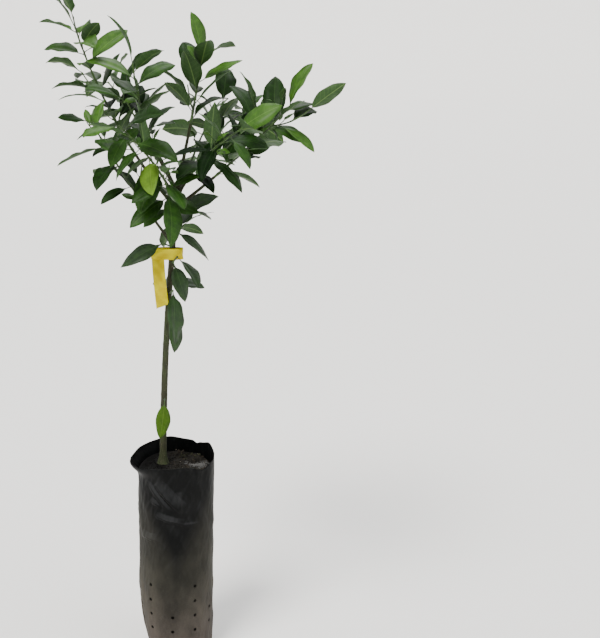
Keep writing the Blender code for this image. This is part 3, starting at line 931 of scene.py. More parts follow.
@dataclass(frozen=True)
class YoungBark(Finish):
    """The bark of a young trunk: olive and grey-brown, with fine lengthways cracks and pale specks."""

    name: str = "young_citrus_bark"
    roughness: float = 0.80
    specular: float = 0.25
    green: str = "#2E381D"
    brown: str = "#2A2A1B"
    crack: str = "#15120D"
    speck: str = "#645E4A"
    patch_mm: float = 22.0
    crack_mm: float = 1.5
    speck_scale: float = 530.0
    relief_mm: float = 0.35

    def pattern(self, add: Add, place: Socket) -> Feeds:
        """Patches of green and brown, cracks along the trunk and specks.

        Args:
            add: Adds a node.
            place: The place on the object.

        Returns:
            What feeds the shader, by socket.
        """
        patches = add(NOISE, add(MAPPING, place, (1.0, 1.0, 0.45)), 1000 / self.patch_mm, 4.0)
        body = add(MIX, add(RANGE, patches, 0.36, 0.66), self.brown, self.green)
        lines = add(NOISE, add(MAPPING, place, (1.0, 1.0, 0.10)), 1000 / self.crack_mm, 4.0)
        cracked = add(MIX, add(RANGE, lines, 0.52, 0.66, 0.0, 0.8), body, self.crack)
        dots = add(NOISE, place, self.speck_scale, 1.0)
        colour = add(MIX, add(RANGE, dots, 0.69, 0.75), cracked, self.speck)
        return {"Base Color": colour, "Normal": add(BUMP, add(MINUS, lines, dots), self.relief_mm * MM)}


@dataclass(frozen=True)
class BagFilm(Finish):
    """Black polythene film: near-black and satin above, dulled by dried dust below and up its sides.

    Fine dust and painted light grey the facets that face up. Where those are is in the film's attribute
    "ledge".
    """

    name: str = "black_polythene_film"
    roughness: float = 0.50
    ior: float = 1.51
    specular: float = 0.075
    dusty_roughness: float = 0.75
    film: str = "#040505"
    worn: str = "#0A0B0B"
    facet_light_and_dust: str = "#242526"
    olive_dust: str = "#403E36"
    brown_dust: str = "#48423D"
    dust_low: float = -0.01
    dust_high: float = 0.19
    dust_climb: float = 1.9
    foot_low: float = 0.04
    foot_high: float = 0.15
    streak_mm: float = 24.0
    fine_scale: float = 420.0
    crinkle_mm: float = 9.0
    relief_mm: float = 0.22

    def pattern(self, add: Add, place: Socket) -> Feeds:
        """Rubbed film, with dust from the ground up, painted light and dust on the facets that face up, and
        fine crinkles.

        Args:
            add: Adds a node.
            place: The place on the object.

        Returns:
            What feeds the shader, by socket.
        """
        aside, _, height = add(SPLIT, place).outputs
        reach = add(TIMES_PLUS, add(ABSOLUTE, aside), -self.dust_climb, height)
        streaks = add(NOISE, add(MAPPING, place, (1.0, 1.0, 0.6)), 1000 / self.streak_mm, 4.0)
        fine = add(NOISE, place, self.fine_scale, 4.0)
        spread = add(RANGE, add(TIMES_PLUS, fine, 0.25, streaks), 0.42, 0.84, 0.5, 1.1)
        cover = add(TIMES, add(RANGE, reach, self.dust_high, self.dust_low), spread, use_clamp=True)
        plain = add(MIX, add(RANGE, streaks, 0.42, 0.72), self.film, self.worn)
        # Painted light and dust: the facets that face up are lightened towards grey
        ledge = add("ShaderNodeAttribute", attribute_name="ledge").outputs["Fac"]
        facet_lit_and_dusty = add(MIX, add(TIMES, ledge, spread, use_clamp=True), plain, self.facet_light_and_dust)
        foot = add(RANGE, height, self.foot_high, self.foot_low)
        colour = add(MIX, cover, facet_lit_and_dusty, add(MIX, foot, self.olive_dust, self.brown_dust))
        crinkle = add(TIMES_PLUS, fine, 0.2, add(NOISE, place, 1000 / self.crinkle_mm, 5.0))
        return {
            "Base Color": colour,
            "Roughness": add(RANGE, cover, 0.0, 1.0, self.roughness, self.dusty_roughness),
            "Normal": add(BUMP, crinkle, self.relief_mm * MM),
        }


@dataclass(frozen=True)
class PottingMix(Finish):
    """Peat and bark potting mix or its grit: crumbly and dull, darkened at the left by painted shade, with a
    dry grey crust.
    """

    name: str = "peat_potting_mix"
    roughness: float = 0.94
    ior: float = 1.4
    specular: float = 0.2
    dark: str = "#0C0C0A"
    light: str = "#24211C"
    left_shade_colour: str = "#030303"
    crust: str = "#5A5958"
    shade_none_at: float = 0.002
    shade_full_at: float = -0.022
    crust_place: tuple[float, float, float] = (0.032, -0.003, 0.304)
    crust_reach: float = 0.024
    crust_edge: float = 0.006
    blot_reach: float = 0.020
    blot_scale: float = 190.0
    grain_mm: float = 2.2
    pore_scale: float = 900.0
    relief_mm: float = 0.6

    def pattern(self, add: Add, place: Socket) -> Feeds:
        """Light and dark grains, the painted shade at the left and the ragged crust.

        Args:
            add: Adds a node.
            place: The place on the object.

        Returns:
            What feeds the shader, by socket.
        """
        grain = add(NOISE, place, 1000 / self.grain_mm, 5.0)
        mixed = add(MIX, add(RANGE, grain, 0.32, 0.70), self.dark, self.light)
        # Painted shade: the mix darkens towards the left, where the bag's rim shades it
        left_shade = add(RANGE, add(SPLIT, place), self.shade_none_at, self.shade_full_at, 0.0, 0.9)
        left_shaded = add(MIX, left_shade, mixed, self.left_shade_colour)
        blots = add(NOISE, place, self.blot_scale, 3.0)
        ragged = add(TIMES_PLUS, blots, self.blot_reach, add(V_AWAY, place, self.crust_place))
        dry = add(RANGE, ragged, self.crust_reach, self.crust_reach - self.crust_edge, 0.0, 0.8)
        relief = add(BUMP, add(NOISE, place, self.pore_scale, 4.0), self.relief_mm * MM)
        return {"Base Color": add(MIX, dry, left_shaded, self.crust), "Normal": relief}


@dataclass(frozen=True)
class TapeVinyl(Finish):
    """Soft yellow vinyl label tape: bright and nearly matt, a little darker where it is rubbed."""

    name: str = "yellow_vinyl_tape"
    roughness: float = 0.50
    ior: float = 1.53
    specular: float = 0.07
    yellow: str = "#CABD00"
    shade: str = "#B6A200"
    rub_scale: float = 70.0
    crease_mm: float = 4.0
    relief_mm: float = 0.25

    def pattern(self, add: Add, place: Socket) -> Feeds:
        """Rubbed patches, and creases that lie nearly level.

        Args:
            add: Adds a node.
            place: The place on the object.

        Returns:
            What feeds the shader, by socket.
        """
        rubbed = add(RANGE, add(NOISE, place, self.rub_scale, 3.0), 0.36, 0.62)
        lines = add(NOISE, add(MAPPING, place, (0.4, 0.4, 1.2)), 1000 / self.crease_mm, 3.0)
        colour = add(MIX, rubbed, self.shade, self.yellow)
        return {"Base Color": colour, "Normal": add(BUMP, lines, self.relief_mm * MM)}


@dataclass(frozen=True)
class StudioPaper(Finish):
    """Pale matt paper under the plant."""

    name: str = "pale_studio_floor"
    roughness: float = 0.85
    specular: float = 0.2
    colour: str = "#F6F5F3"

    def pattern(self, add: Add, place: Socket) -> Feeds:
        """One colour all over."""
        return {"Base Color": self.colour}


LEAF_UNDERSIDE = LeafSkin(
    "citrus_leaf_underside", 0.60, specular=0.25, blade="#2F4C20", shade="#243E1A", vein="#56703A",
    vein_edge=0.86, vein_share=0.22, vein_relief=1.0, rib_at_stalk=0.036, rib_at_tip=0.036,
    rib_core=0.006, rib_share=1.0, mottle_mm=6.0, mottle_span=(0.30, 0.72), grain_mm=6.0,
    grain_detail=3.0, relief_mm=0.10, sheen=(0.0, 0.0),
)


def leaf_skin(tone: str, roughness: float, specular: float, blade: str, shade: str, vein: str) -> LeafSkin:
    """The upper skin of leaves of one tone, such as deep_green."""
    return LeafSkin("citrus_leaf_" + tone, roughness, 1.45, specular, blade=blade, shade=shade, vein=vein)


class LeafTint(Enum):
    """The leaf colours that are dealt out, from dark to bright: the leaves' own tone with painted light and
    shade.
    """

    DEEP = leaf_skin("deep_green", 0.46, 0.06, "#0A1F05", "#051503", "#22401A")
    DARK = leaf_skin("dark_green", 0.47, 0.12, "#17310B", "#0F2406", "#365424")
    MID = leaf_skin("mid_green", 0.46, 0.20, "#274810", "#1B370A", "#4C6C2E")
    FRESH = leaf_skin("fresh_green", 0.45, 0.26, "#3C6218", "#2C4D10", "#668840")
    WAXY = leaf_skin("waxy_dark_green", 0.50, 0.36, "#1E3A10", "#13290A", "#3C562C")
    YOUNG = leaf_skin("young_green", 0.48, 0.12, "#3A5710", "#2F480B", "#607832")
    LIME = leaf_skin("yellow_green", 0.46, 0.20, "#668C26", "#537320", "#8AA44A")


# Making pieces


def link(data: bpy.types.ID, name: str) -> Piece:
    """Puts data into the scene as an object at the origin.

    Args:
        data: A mesh, a lamp or a camera.
        name: The object's name.

    Returns:
        The object.
    """
    made = bpy.data.objects.new(name, data)
    bpy.context.scene.collection.objects.link(made)
    return made


def piece_of(body: Body, name: str, *materials: Material) -> Piece:
    """Makes an object of a body, shaded smooth.

    Args:
        body: The body, which is freed.
        name: The object's name.
        *materials: Its material slots.

    Returns:
        The object.
    """
    mesh = bpy.data.meshes.new(name)
    body.to_mesh(mesh)
    body.free()
    for material in materials:
        mesh.materials.append(material)
    mesh.shade_smooth()
    return link(mesh, name)


def note_points(mesh: bpy.types.Mesh, name: str, values: Sequence) -> None:
    """Notes a number or a vector on each point of a mesh.

    Args:
        mesh: The mesh.
        name: The attribute's name.
        values: One for each point.
    """
    rows = np.array(values, dtype=float)
    kind, key = ("FLOAT", "value") if rows.ndim == 1 else ("FLOAT_VECTOR", "vector")
    mesh.attributes.new(name, kind, "POINT").data.foreach_set(key, rows.ravel())


def bake_modifiers(piece: Piece) -> None:
    """Makes what a piece's modifiers give its plain mesh, and takes them off.

    Args:
        piece: The piece.
    """
    bpy.context.view_layer.update()
    graph = bpy.context.evaluated_depsgraph_get()
    made = bpy.data.meshes.new_from_object(piece.evaluated_get(graph))
    piece.modifiers.clear()
    piece.data = made
    made.name = piece.name


def settle(piece: Piece, nodes: Sequence[str]) -> None:
    """Gives a piece its body, hides the solids that it stands for, and reports it.

    Args:
        piece: The finished piece.
        nodes: The solids that it replaces.
    """
    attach(piece, BODY)
    if nodes:
        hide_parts(*nodes)
    LOG.info("%s: %d faces", piece.name, len(piece.data.polygons))


class NodeRecipe:
    """A Geometry Nodes tree with named inputs, run once on a mesh and turned into a plain mesh."""

    SOCKETS = {int: "NodeSocketInt", float: "NodeSocketFloat", tuple: "NodeSocketVector"}

    def __init__(self, name: str, **inputs: object) -> None:
        """Starts the tree.

        Args:
            name: The tree's name.
            **inputs: Input name to its default: a number, a vector, or None for a material.
        """
        self.tree = bpy.data.node_groups.new(name, "GeometryNodeTree")
        self.add = partial(add_node, self.tree)
        face = self.tree.interface
        face.new_socket("Geometry", in_out="INPUT", socket_type="NodeSocketGeometry")
        face.new_socket("Geometry", in_out="OUTPUT", socket_type="NodeSocketGeometry")
        self.names = {}
        for label, value in inputs.items():
            kind = self.SOCKETS.get(type(value), "NodeSocketMaterial")
            socket = face.new_socket(label, in_out="INPUT", socket_type=kind)
            if value is not None:
                socket.default_value = value
            self.names[label] = socket.identifier
        self.given = self.tree.nodes.new("NodeGroupInput").outputs

    def close(self, geometry: Node) -> None:
        """Ends the tree with what its last node gives."""
        self.add("NodeGroupOutput", geometry)

    def run(self, piece: Piece, **values: object) -> Piece:
        """Runs the tree on an object and keeps the result as its plain mesh.

        Args:
            piece: The object, whose mesh is the tree's input.
            **values: Input name to value.

        Returns:
            The same object.
        """
        modifier = piece.modifiers.new(self.tree.name, "NODES")
        modifier.node_group = self.tree
        for label, value in values.items():
            modifier[self.names[label]] = value
        bake_modifiers(piece)
        return piece


@dataclass(frozen=True)
class WoodSkin:
    """How a piece of wood is swept: its sides, and its relief's depth and grain in millimetres."""

    sides: int
    relief_mm: float
    grain_mm: float


class WoodSweep(NodeRecipe):
    """Sweeps strands into round wood whose skin is roughened along the grain."""

    def __init__(self) -> None:
        """Builds the tree: lines with a girth, to round wood with relief."""
        super().__init__("wood_sweep", Sides=12, Relief=0.0002, Grain=400.0, Material=None)
        add, given = self.add, self.given
        lines = add("GeometryNodeMeshToCurve", given["Geometry"])
        ring = add("GeometryNodeCurvePrimitiveCircle", {"Resolution": given["Sides"], "Radius": 1.0})
        girth = add(NAMED, "girth", data_type="FLOAT")
        sweep = {"Curve": lines, "Profile Curve": ring, "Scale": girth, "Fill Caps": True}
        grain = add(V_TIMES, add(PLACE), (1.0, 1.0, 0.22))
        depth = add(TIMES, add(MINUS, add(NOISE, grain, given["Grain"], 3.0), 0.5), given["Relief"])
        shift = add(V_SCALE, add("GeometryNodeInputNormal"), depth)
        rough = add(MOVE, add("GeometryNodeCurveToMesh", sweep), shift)
        self.close(add(PAINT, add(REALIZE, add(SOFTEN, rough)), given["Material"]))

    def make(self, name: str, strands: Sequence[Strand], skin: WoodSkin, material: Material) -> Piece:
        """Sweeps strands into one piece.

        Args:
            name: The piece's name.
            strands: The centre lines.
            skin: How its skin is made.
            material: Its finish.

        Returns:
            The piece.
        """
        points, edges, girths = [], [], []
        for strand in strands:
            first = len(points)
            points += [tuple(point) for point in strand.path]
            girths += strand.girths
            edges += [(first + i, first + i + 1) for i in range(len(strand.path) - 1)]
        mesh = bpy.data.meshes.new(name)
        mesh.from_pydata(points, edges, [])
        note_points(mesh, "girth", girths)
        grain = 1000 / skin.grain_mm
        sizes = {"Sides": skin.sides, "Relief": skin.relief_mm * MM, "Grain": grain}
        return self.run(link(mesh, name), Material=material, **sizes)


@dataclass
class Wood:
    """The trunk and the bare boughs, with a swollen collar where each bough leaves the trunk."""

    trunk: TrunkForm
    sweep: WoodSweep
    trunk_points: int = 300
    crowding: float = 1.12
    trunk_skin: WoodSkin = WoodSkin(40, 0.6, 3.2)
    bough_skin: WoodSkin = WoodSkin(16, 0.25, 2.4)
    bough_fineness: int = 8
    joint_pitch: float = 0.031
    joint_swell: float = 0.05
    skin_sink: float = 0.1 * MM
    collar_reach: float = 0.007
    collar_swell: float = 0.45

    def trunk_strand(self) -> Strand:
        """The trunk's strand, with slight swellings at its old leaf joints.

        Returns:
            The fine strand, from the soil to the fork.
        """
        heights = self.trunk.heights(self.trunk_points, self.crowding)
        girths = []
        for height in heights:
            joint = math.sin(height * math.tau / self.joint_pitch) ** 12
            girths.append(self.trunk.radius(height) * (1 + self.joint_swell * joint) - self.skin_sink)
        return Strand([self.trunk.point(height) for height in heights], girths)

    def bough_strand(self, shoot: Shoot) -> Strand:
        """A bough's fine strand, from inside the trunk, with its collar.

        Args:
            shoot: The shoot whose bough it is.

        Returns:
            The strand.
        """
        fine = shoot.bough.finer(self.bough_fineness)
        girths = []
        for point, girth in zip(fine.path, fine.girths):
            height = min(point.z, self.trunk.fork.z)
            clear = max(0.0, (point - self.trunk.point(height)).length - self.trunk.radius(height))
            girths.append(girth * (1 + self.collar_swell * math.exp(-clear / self.collar_reach)))
        return Strand(fine.path, girths)

    def build(self, shoots: list[Shoot]) -> None:
        """Makes the trunk's piece and the boughs' piece.

        Args:
            shoots: The grown shoots.
        """
        bark = YoungBark().make()
        settle(self.sweep.make("trunk_bark", [self.trunk_strand()], self.trunk_skin, bark), ["trunk"])
        bare = [shoot for shoot in shoots if shoot.limb.bare]
        strands = [self.bough_strand(shoot) for shoot in bare]
        boughs = self.sweep.make("boughs_bark", strands, self.bough_skin, bark)
        settle(boughs, ["bough_" + shoot.limb.name for shoot in bare])


@dataclass(frozen=True)
class LeafWhim:
    """What makes one leaf unlike the next, drawn from its own tone."""

    twist: float
    wave: float
    phase: float
    hook: float
    TWIST = (-38, 38)
    WAVE = (0.02, 0.12)
    HOOK = (-0.01, 0.05)

    @classmethod
    def of(cls, leaf: Leaf) -> "LeafWhim":
        """Draws the whims of a leaf.

        Args:
            leaf: The leaf.

        Returns:
            Its whims.
        """
        rng = random.Random(round(leaf.tone * 1e9))
        twist, wave = math.radians(rng.uniform(*cls.TWIST)), rng.uniform(*cls.WAVE)
        return cls(twist, wave, rng.uniform(0, math.tau), rng.uniform(*cls.HOOK))


class LeafPress(NodeRecipe):
    """Grows each leaf of a mass from one point by Geometry Nodes.

    A closed box of cells is put on each point and bent into a winged stalk and a blade: folded along its
    midrib, curled, twisted and wavy at its edge, with a ridge below and a groove above. What is worked
    out on the way stands under its own name in the record at.
    """

    OUTLINE_RISE = 0.64
    OUTLINE_TAPER = 0.84
    TIP = 0.996
    STALK_HALF_WIDTH = 0.00035
    FOLD_BOW = 1.2
    WAVES = 15.0
    WAVE_SLANT = 1.6
    HOOK_POWER = 6.0
    RIB_POWER = 24.0
    GROOVE = 0.0001
    EDGE_THINNING = -0.65
    VALUES = {
        "root": (),
        "reach": (),
        "face": (),
        "cell": ("along", "across", "side"),
        "size": ("length", "half", "petiole"),
        "bend": ("curl", "fold", "twist"),
        "whim": ("wave", "phase", "hook"),
    }

    def __init__(self, tints: Sequence[Material], under: Material) -> None:
        """Builds the tree.

        Args:
            tints: The upper skins, in the order of their numbers.
            under: The under skin.
        """
        self.skins = {f"Skin {i}": tint for i, tint in enumerate(tints)}
        self.skins["Underside"] = under
        sizes = {"Thickness": 0.00018, "Rib": 0.00045, "Wing": 0.018, "Roll": -0.13}
        super().__init__("leaf_press", Rows=14, Columns=5, **sizes, **dict.fromkeys(self.skins))
        self.at = SimpleNamespace()
        self.cells()
        self.midrib()
        self.outline()
        self.close(self.dress(self.bend()))

    def cells(self) -> None:
        """Puts a box of cells on each point and reads the leaf's own values."""
        add, at, given = self.add, self.at, self.given
        counts = {"Vertices X": given["Rows"], "Vertices Y": given["Columns"], "Vertices Z": 2}
        box = add("GeometryNodeMeshCube", {"Size": (1.0, 2.0, 2.0), **counts}).outputs[0]
        marked = add(STORE, box, "leaf_cell", add(PLACE), data_type="FLOAT_VECTOR", domain="POINT")
        at.mesh = add(REALIZE, add(SCATTER, given["Geometry"], marked))
        for name, labels in self.VALUES.items():
            value = add(NAMED, "leaf_" + name)
            setattr(at, name, value)
            if labels:
                vars(at).update(zip(labels, add(SPLIT, value).outputs))

    def midrib(self) -> None:
        """Works out each cell's place along the leaf, and the midrib's place and frame there."""
        add, at = self.add, self.at
        at.stalk = add(OVER, at.petiole, at.length)
        at.u = add(RANGE, add(PLUS, at.along, 0.5), 0.0, 1.0, add(TIMES, at.stalk, -1.0), self.TIP)
        at.u_blade = add(MAXIMUM, at.u, 0.0)
        at.u_stalk = add(MINIMUM, at.u, 0.0)
        back = add(TIMES, add(TIMES, at.curl, at.u_blade), -1.0)
        axis = add(V_CROSS, at.reach, at.face)
        reach1 = add(ROTATE, at.reach, axis, back)
        face1 = add(ROTATE, at.face, axis, back)
        start = add(V_TIMES_PLUS, at.reach, at.petiole, at.root)
        arc = add(V_TIMES_PLUS, add(V_MINUS, face1, at.face), add(OVER, at.length, at.curl), start)
        at.mid = add(V_TIMES_PLUS, at.reach, add(TIMES, at.u_stalk, at.length), arc)
        spin = add(TIMES, at.twist, at.u_blade)
        at.face2 = add(ROTATE, face1, reach1, spin)
        at.side2 = add(ROTATE, axis, reach1, spin)

    def outline(self) -> None:
        """Works out the half width and each cell's share of it."""
        add, at, given = self.add, self.at, self.given
        rise, fall = self.OUTLINE_RISE, self.OUTLINE_TAPER
        top = rise / (rise + fall)
        peak = top**rise * (1 - top) ** fall
        ends = add(TIMES, add(POWER, at.u_blade, rise), add(POWER, add(MINUS, 1.0, at.u_blade), fall))
        at.shape = add(TIMES, ends, 1 / peak)
        bulge = add(SINE, add(TIMES, add(OVER, at.u_stalk, at.stalk), -math.pi))
        winged = add(TIMES_PLUS, bulge, add(TIMES, at.length, given["Wing"]), add(TIMES, at.shape, at.half))
        at.width = add(MAXIMUM, winged, self.STALK_HALF_WIDTH)
        packed = add(TIMES_PLUS, add(TIMES, at.across, at.across), 0.6, 0.4)
        at.v = add(TIMES, at.across, packed)
        at.out = add(ABSOLUTE, at.v)

    def lift(self) -> Node:
        """Works out how far each cell stands off the midrib's plane.

        Returns:
            The node that gives the height along the face.
        """
        add, at, given = self.add, self.at, self.given
        # The fold: each half of the blade rises from the midrib
        folded = add(TIMES, add(SINE, at.fold), add(POWER, at.out, self.FOLD_BOW))
        # The wavy edge, rolled a little down
        beat = add(TIMES_PLUS, at.v, self.WAVE_SLANT, add(TIMES_PLUS, at.u, self.WAVES, at.phase))
        wavy = add(TIMES, add(SINE, beat), add(POWER, at.out, 2.0))
        rolled = add(TIMES_PLUS, add(POWER, at.out, 4.0), given["Roll"], folded)
        spread = add(TIMES, add(TIMES_PLUS, wavy, at.wave, rolled), at.width)
        # The tip hooks down
        hook = add(TIMES, add(TIMES, add(POWER, at.u_blade, self.HOOK_POWER), at.hook), at.length)
        hooked = add(MINUS, spread, hook)
        # The midrib: a ridge below and a shallow groove above, thinning towards the tip
        near = add(POWER, add(MINUS, 1.0, at.out), self.RIB_POWER)
        deep = add(RANGE, at.side, -1.0, 1.0, given["Rib"], self.GROOVE)
        ribbed = add(MINUS, hooked, add(TIMES, add(TIMES, near, deep), add(MINUS, 1.0, at.u_blade)))
        # The skins stand apart by the blade's thickness, thinner at the edge
        thinned = add(TIMES_PLUS, add(POWER, at.out, 3.0), self.EDGE_THINNING, 1.0)
        return add(TIMES_PLUS, add(TIMES, thinned, given["Thickness"]), at.side, ribbed)

    def bend(self) -> Node:
        """Moves every cell to its place on the leaf.

        Returns:
            The node that gives the bent mesh.
        """
        add, at = self.add, self.at
        sideways = add(TIMES, add(TIMES, at.v, add(COSINE, at.fold)), at.width)
        beside = add(V_TIMES_PLUS, at.side2, sideways, at.mid)
        place = add(V_TIMES_PLUS, at.face2, self.lift(), beside)
        return add(MOVE, {"Geometry": at.mesh, "Position": place})

    def dress(self, bent: Node) -> Node:
        """Gives the mesh its UV map and its skins.

        Args:
            bent: The node that gives the bent mesh.

        Returns:
            The last node.
        """
        add, at, given = self.add, self.at, self.given
        u = add(TIMES_PLUS, add(TIMES, at.v, add(MAXIMUM, at.shape, 0.08)), 0.5, 0.5)
        uv = add("ShaderNodeCombineXYZ", u, at.u_blade)
        mapped = add(STORE, bent, "UVMap", uv, data_type="FLOAT2", domain="CORNER")
        made = add(PAINT, add(REALIZE, add(SOFTEN, mapped)), given["Underside"])
        upper = add(COMPARE, at.side, 0.5, operation="GREATER_THAN")
        tint = add(NAMED, "leaf_tint", data_type="FLOAT")
        for number in range(len(self.skins) - 1):
            same = add(COMPARE, tint, float(number), 0.4, operation="EQUAL")
            both = add("FunctionNodeBooleanMath", upper, same, operation="AND")
            made = add(PAINT, made, given[f"Skin {number}"], both)
        return made

    def make(self, name: str, leaves: Sequence[tuple[Leaf, int]]) -> Piece:
        """Grows leaves as one piece.

        Args:
            name: The piece's name.
            leaves: Each leaf with its tint's number.

        Returns:
            The piece.
        """
        mesh = bpy.data.meshes.new(name)
        mesh.from_pydata([tuple(leaf.root) for leaf, _ in leaves], [], [])
        whims = [LeafWhim.of(leaf) for leaf, _ in leaves]
        for label in ("root", "reach", "face"):
            note_points(mesh, "leaf_" + label, [getattr(leaf, label) for leaf, _ in leaves])
        note_points(mesh, "leaf_size", [(leaf.length, leaf.width / 2, leaf.petiole) for leaf, _ in leaves])
        bends = [(leaf.curl, leaf.fold, whim.twist) for (leaf, _), whim in zip(leaves, whims)]
        note_points(mesh, "leaf_bend", bends)
        note_points(mesh, "leaf_whim", [(whim.wave, whim.phase, whim.hook) for whim in whims])
        note_points(mesh, "leaf_tint", [tint for _, tint in leaves])
        return self.run(link(mesh, name), **self.skins)


@dataclass
class Foliage:
    """The leafy masses: the leaves, and the green shoots with their stalks and buds.

    A leaf's tint is its own tone with painted light and shade on it: it is brighter by its own tone, and by
    painted light near its limb's tip, high up, where it is small, and low in the crown, where the photograph
    shows bright leaves too.
    """

    sweep: WoodSweep
    skin: WoodSkin = WoodSkin(10, 0.10, 1.6)
    fineness: int = 7
    node_swell: float = 0.30
    node_reach: float = 0.0016
    stalk_shares: Row = (0.0, 0.25, 0.6, 1.0)
    stalk_girths: Row = (1.35, 1.0, 0.9, 0.95, 0.4)
    full_stalk_leaf: float = 0.045
    bud_length: float = 0.0026
    bud_shares: Row = (0.0, 0.35, 0.7, 1.0)
    bud_girths: Row = (0.0007, 0.0008, 0.0005, 0.0001)
    young_spur: str = "spur_base"
    lime_shoot: str = "left_front"
    lime_leaf: int = 3
    tone_light: float = 0.56
    tip_light: float = 0.24
    tip_reach: float = 0.05
    high_light: float = 3.4
    high_from: float = 0.79
    small_light: float = 0.15
    small_below: float = 0.6
    low_light: float = 0.14
    low_below: float = 0.74
    limits: Row = (0.22, 0.42, 0.64)

    def tint_of(self, shoot: Shoot, leaf: Leaf) -> LeafTint:
        """Deals a leaf its tint.

        Args:
            shoot: The shoot that it grows on.
            leaf: The leaf.

        Returns:
            The tint.
        """
        limb = shoot.limb
        if not limb.bare:
            return LeafTint.YOUNG if limb.name == self.young_spur else LeafTint.WAXY
        if limb.name == self.lime_shoot and shoot.leaves.index(leaf) == self.lime_leaf:
            return LeafTint.LIME
        # Painted light: the tint brightens near the tip, high up, for small leaves and low in the crown
        near_tip = math.exp(-((leaf.root - Vector(limb.tip)).length / self.tip_reach))
        high = max(0.0, leaf.root.z - self.high_from)
        light = self.tone_light * leaf.tone + self.tip_light * near_tip + self.high_light * high
        light += self.small_light * (leaf.length < self.small_below * limb.leaf_length)
        light += self.low_light * (leaf.root.z < self.low_below)
        tints = (LeafTint.DEEP, LeafTint.DARK, LeafTint.MID, LeafTint.FRESH)
        return tints[sum(light >= limit for limit in self.limits)]

    def stalk_strand(self, leaf: Leaf) -> Strand:
        """A leaf's round stalk, from inside the stem to under the blade's first part.

        Args:
            leaf: The leaf.

        Returns:
            The strand.
        """
        radius = Leaf.PETIOLE_RADIUS * min(1.0, leaf.length / self.full_stalk_leaf)
        path = [leaf.root + leaf.reach * (leaf.petiole * share) for share in self.stalk_shares]
        path.append(leaf.midrib(0.10)[0] - leaf.face * (0.2 * MM))
        return Strand(path, [radius * size for size in self.stalk_girths])

    def bud_strand(self, leaf: Leaf, along: Vector) -> Strand:
        """The bud in the leaf's axil.

        Args:
            leaf: The leaf.
            along: The stem's direction.

        Returns:
            The strand.
        """
        way = (leaf.reach * 0.5 + along).normalized()
        foot = leaf.root + leaf.reach * MM
        path = [foot + way * (self.bud_length * share) for share in self.bud_shares]
        return Strand(path, list(self.bud_girths))

    def strands(self, shoot: Shoot) -> list[Strand]:
        """The shoot's stem, twigs, twiglets, stalks and buds.

        Args:
            shoot: The shoot.

        Returns:
            The strands.
        """
        made = []
        for wood in (shoot.stem, *shoot.twigs, *shoot.twiglets):
            fine = wood.finer(self.fineness)
            girths = []
            for point, girth in zip(fine.path, fine.girths):
                near = min(((point - leaf.root).length for leaf in shoot.leaves), default=1.0)
                girths.append(girth * (1 + self.node_swell * math.exp(-((near / self.node_reach) ** 2))))
            made.append(Strand(fine.path, girths))
        upright = (shoot.stem.path[-1] - shoot.stem.path[0]).normalized()
        for leaf in shoot.leaves:
            made += [self.stalk_strand(leaf), self.bud_strand(leaf, upright)]
        return made

    def build(self, shoots: list[Shoot]) -> None:
        """Makes the leaves' piece and the green wood's piece of each mass, the spurs as one.

        Args:
            shoots: The grown shoots.
        """
        order = list(LeafTint)
        press = LeafPress([tint.value.make() for tint in order], LEAF_UNDERSIDE.make())
        green = GreenShoot().make()
        groups = {shoot.limb.name: [shoot] for shoot in shoots if shoot.limb.bare}
        groups["trunk_spurs"] = [shoot for shoot in shoots if not shoot.limb.bare]
        for name, members in groups.items():
            nodes = [shoot.limb.node for shoot in members]
            dealt = [(leaf, order.index(self.tint_of(s, leaf))) for s in members for leaf in s.leaves]
            settle(press.make("leaves_" + name, dealt), nodes)
            strands = [strand for shoot in members for strand in self.strands(shoot)]
            settle(self.sweep.make("shoots_" + name, strands, self.skin, green), nodes)


@dataclass(frozen=True)
class Crease:
    """One crease in the film: its middle, its slope from level, its length and its height.

    Its two flanks are flat facets, above and below the crest. Angles are in degrees, the rest in metres.
    """

    turn: float
    height: float
    slope: float
    length: float
    depth: float
    above: float
    below: float

    def rise(self, turn: Field, height: Field, radius: float) -> Field:
        """How far the crease lifts the film.

        Args:
            turn: Directions, in radians.
            height: Heights, in metres.
            radius: The bag's radius.

        Returns:
            The lift, in metres.
        """
        level, up = turned_from(turn, self.turn) * radius, height - self.height
        slope = math.radians(self.slope)
        along = level * math.cos(slope) + up * math.sin(slope)
        off = up * math.cos(slope) - level * math.sin(slope)
        fade = np.maximum(0.0, 1 - (2 * along / self.length) ** 2)
        flank = np.where(off > 0, self.above, self.below)
        return self.depth * fade * np.maximum(0.0, 1.04 - np.sqrt((off / flank) ** 2 + 0.0016))



# The creases that the photograph shows on the bag's front: a broad slanting facet and a narrow one at the
# upper left, a level fold under them, a pinch at the left edge and one long upright fold below
FRONT_CREASES: tuple[Crease, ...] = (
    Crease(-102, 0.271, -46, 0.060, 0.0033, 0.0150, 0.0040),
    Crease(-117, 0.272, -48, 0.066, 0.0019, 0.0050, 0.0050),
    Crease(-83, 0.264, 90, 0.040, 0.0016, 0.0090, 0.0040),
    Crease(-122, 0.262, -20, 0.020, 0.0016, 0.0060, 0.0040),
    Crease(-101, 0.238, -14, 0.048, 0.0020, 0.0080, 0.0035),
    Crease(-72, 0.231, -4, 0.044, 0.0006, 0.0030, 0.0050),
    Crease(-137, 0.203, 4, 0.038, 0.0026, 0.0100, 0.0040),
    Crease(-114, 0.176, -78, 0.100, 0.0010, 0.0120, 0.0120),
    Crease(-60, 0.200, 78, 0.140, 0.0008, 0.0180, 0.0180),
    Crease(-139, 0.085, 82, 0.110, 0.0008, 0.0120, 0.0120),
)

@dataclass(frozen=True)
class RimFold:
    """A rise or a dip of the rim: where it is and how far it reaches, in degrees, and its height."""

    turn: float
    reach: float
    rise: float


# The dip over the soil's dry patch, the crumpled right back corner and the high back of the rim
RIM_FOLDS: tuple[RimFold, ...] = (
    RimFold(-44, 15, -0.0070),
    RimFold(24, 18, 0.0078),
    RimFold(56, 5, -0.0030),
    RimFold(98, 34, 0.0045),
)


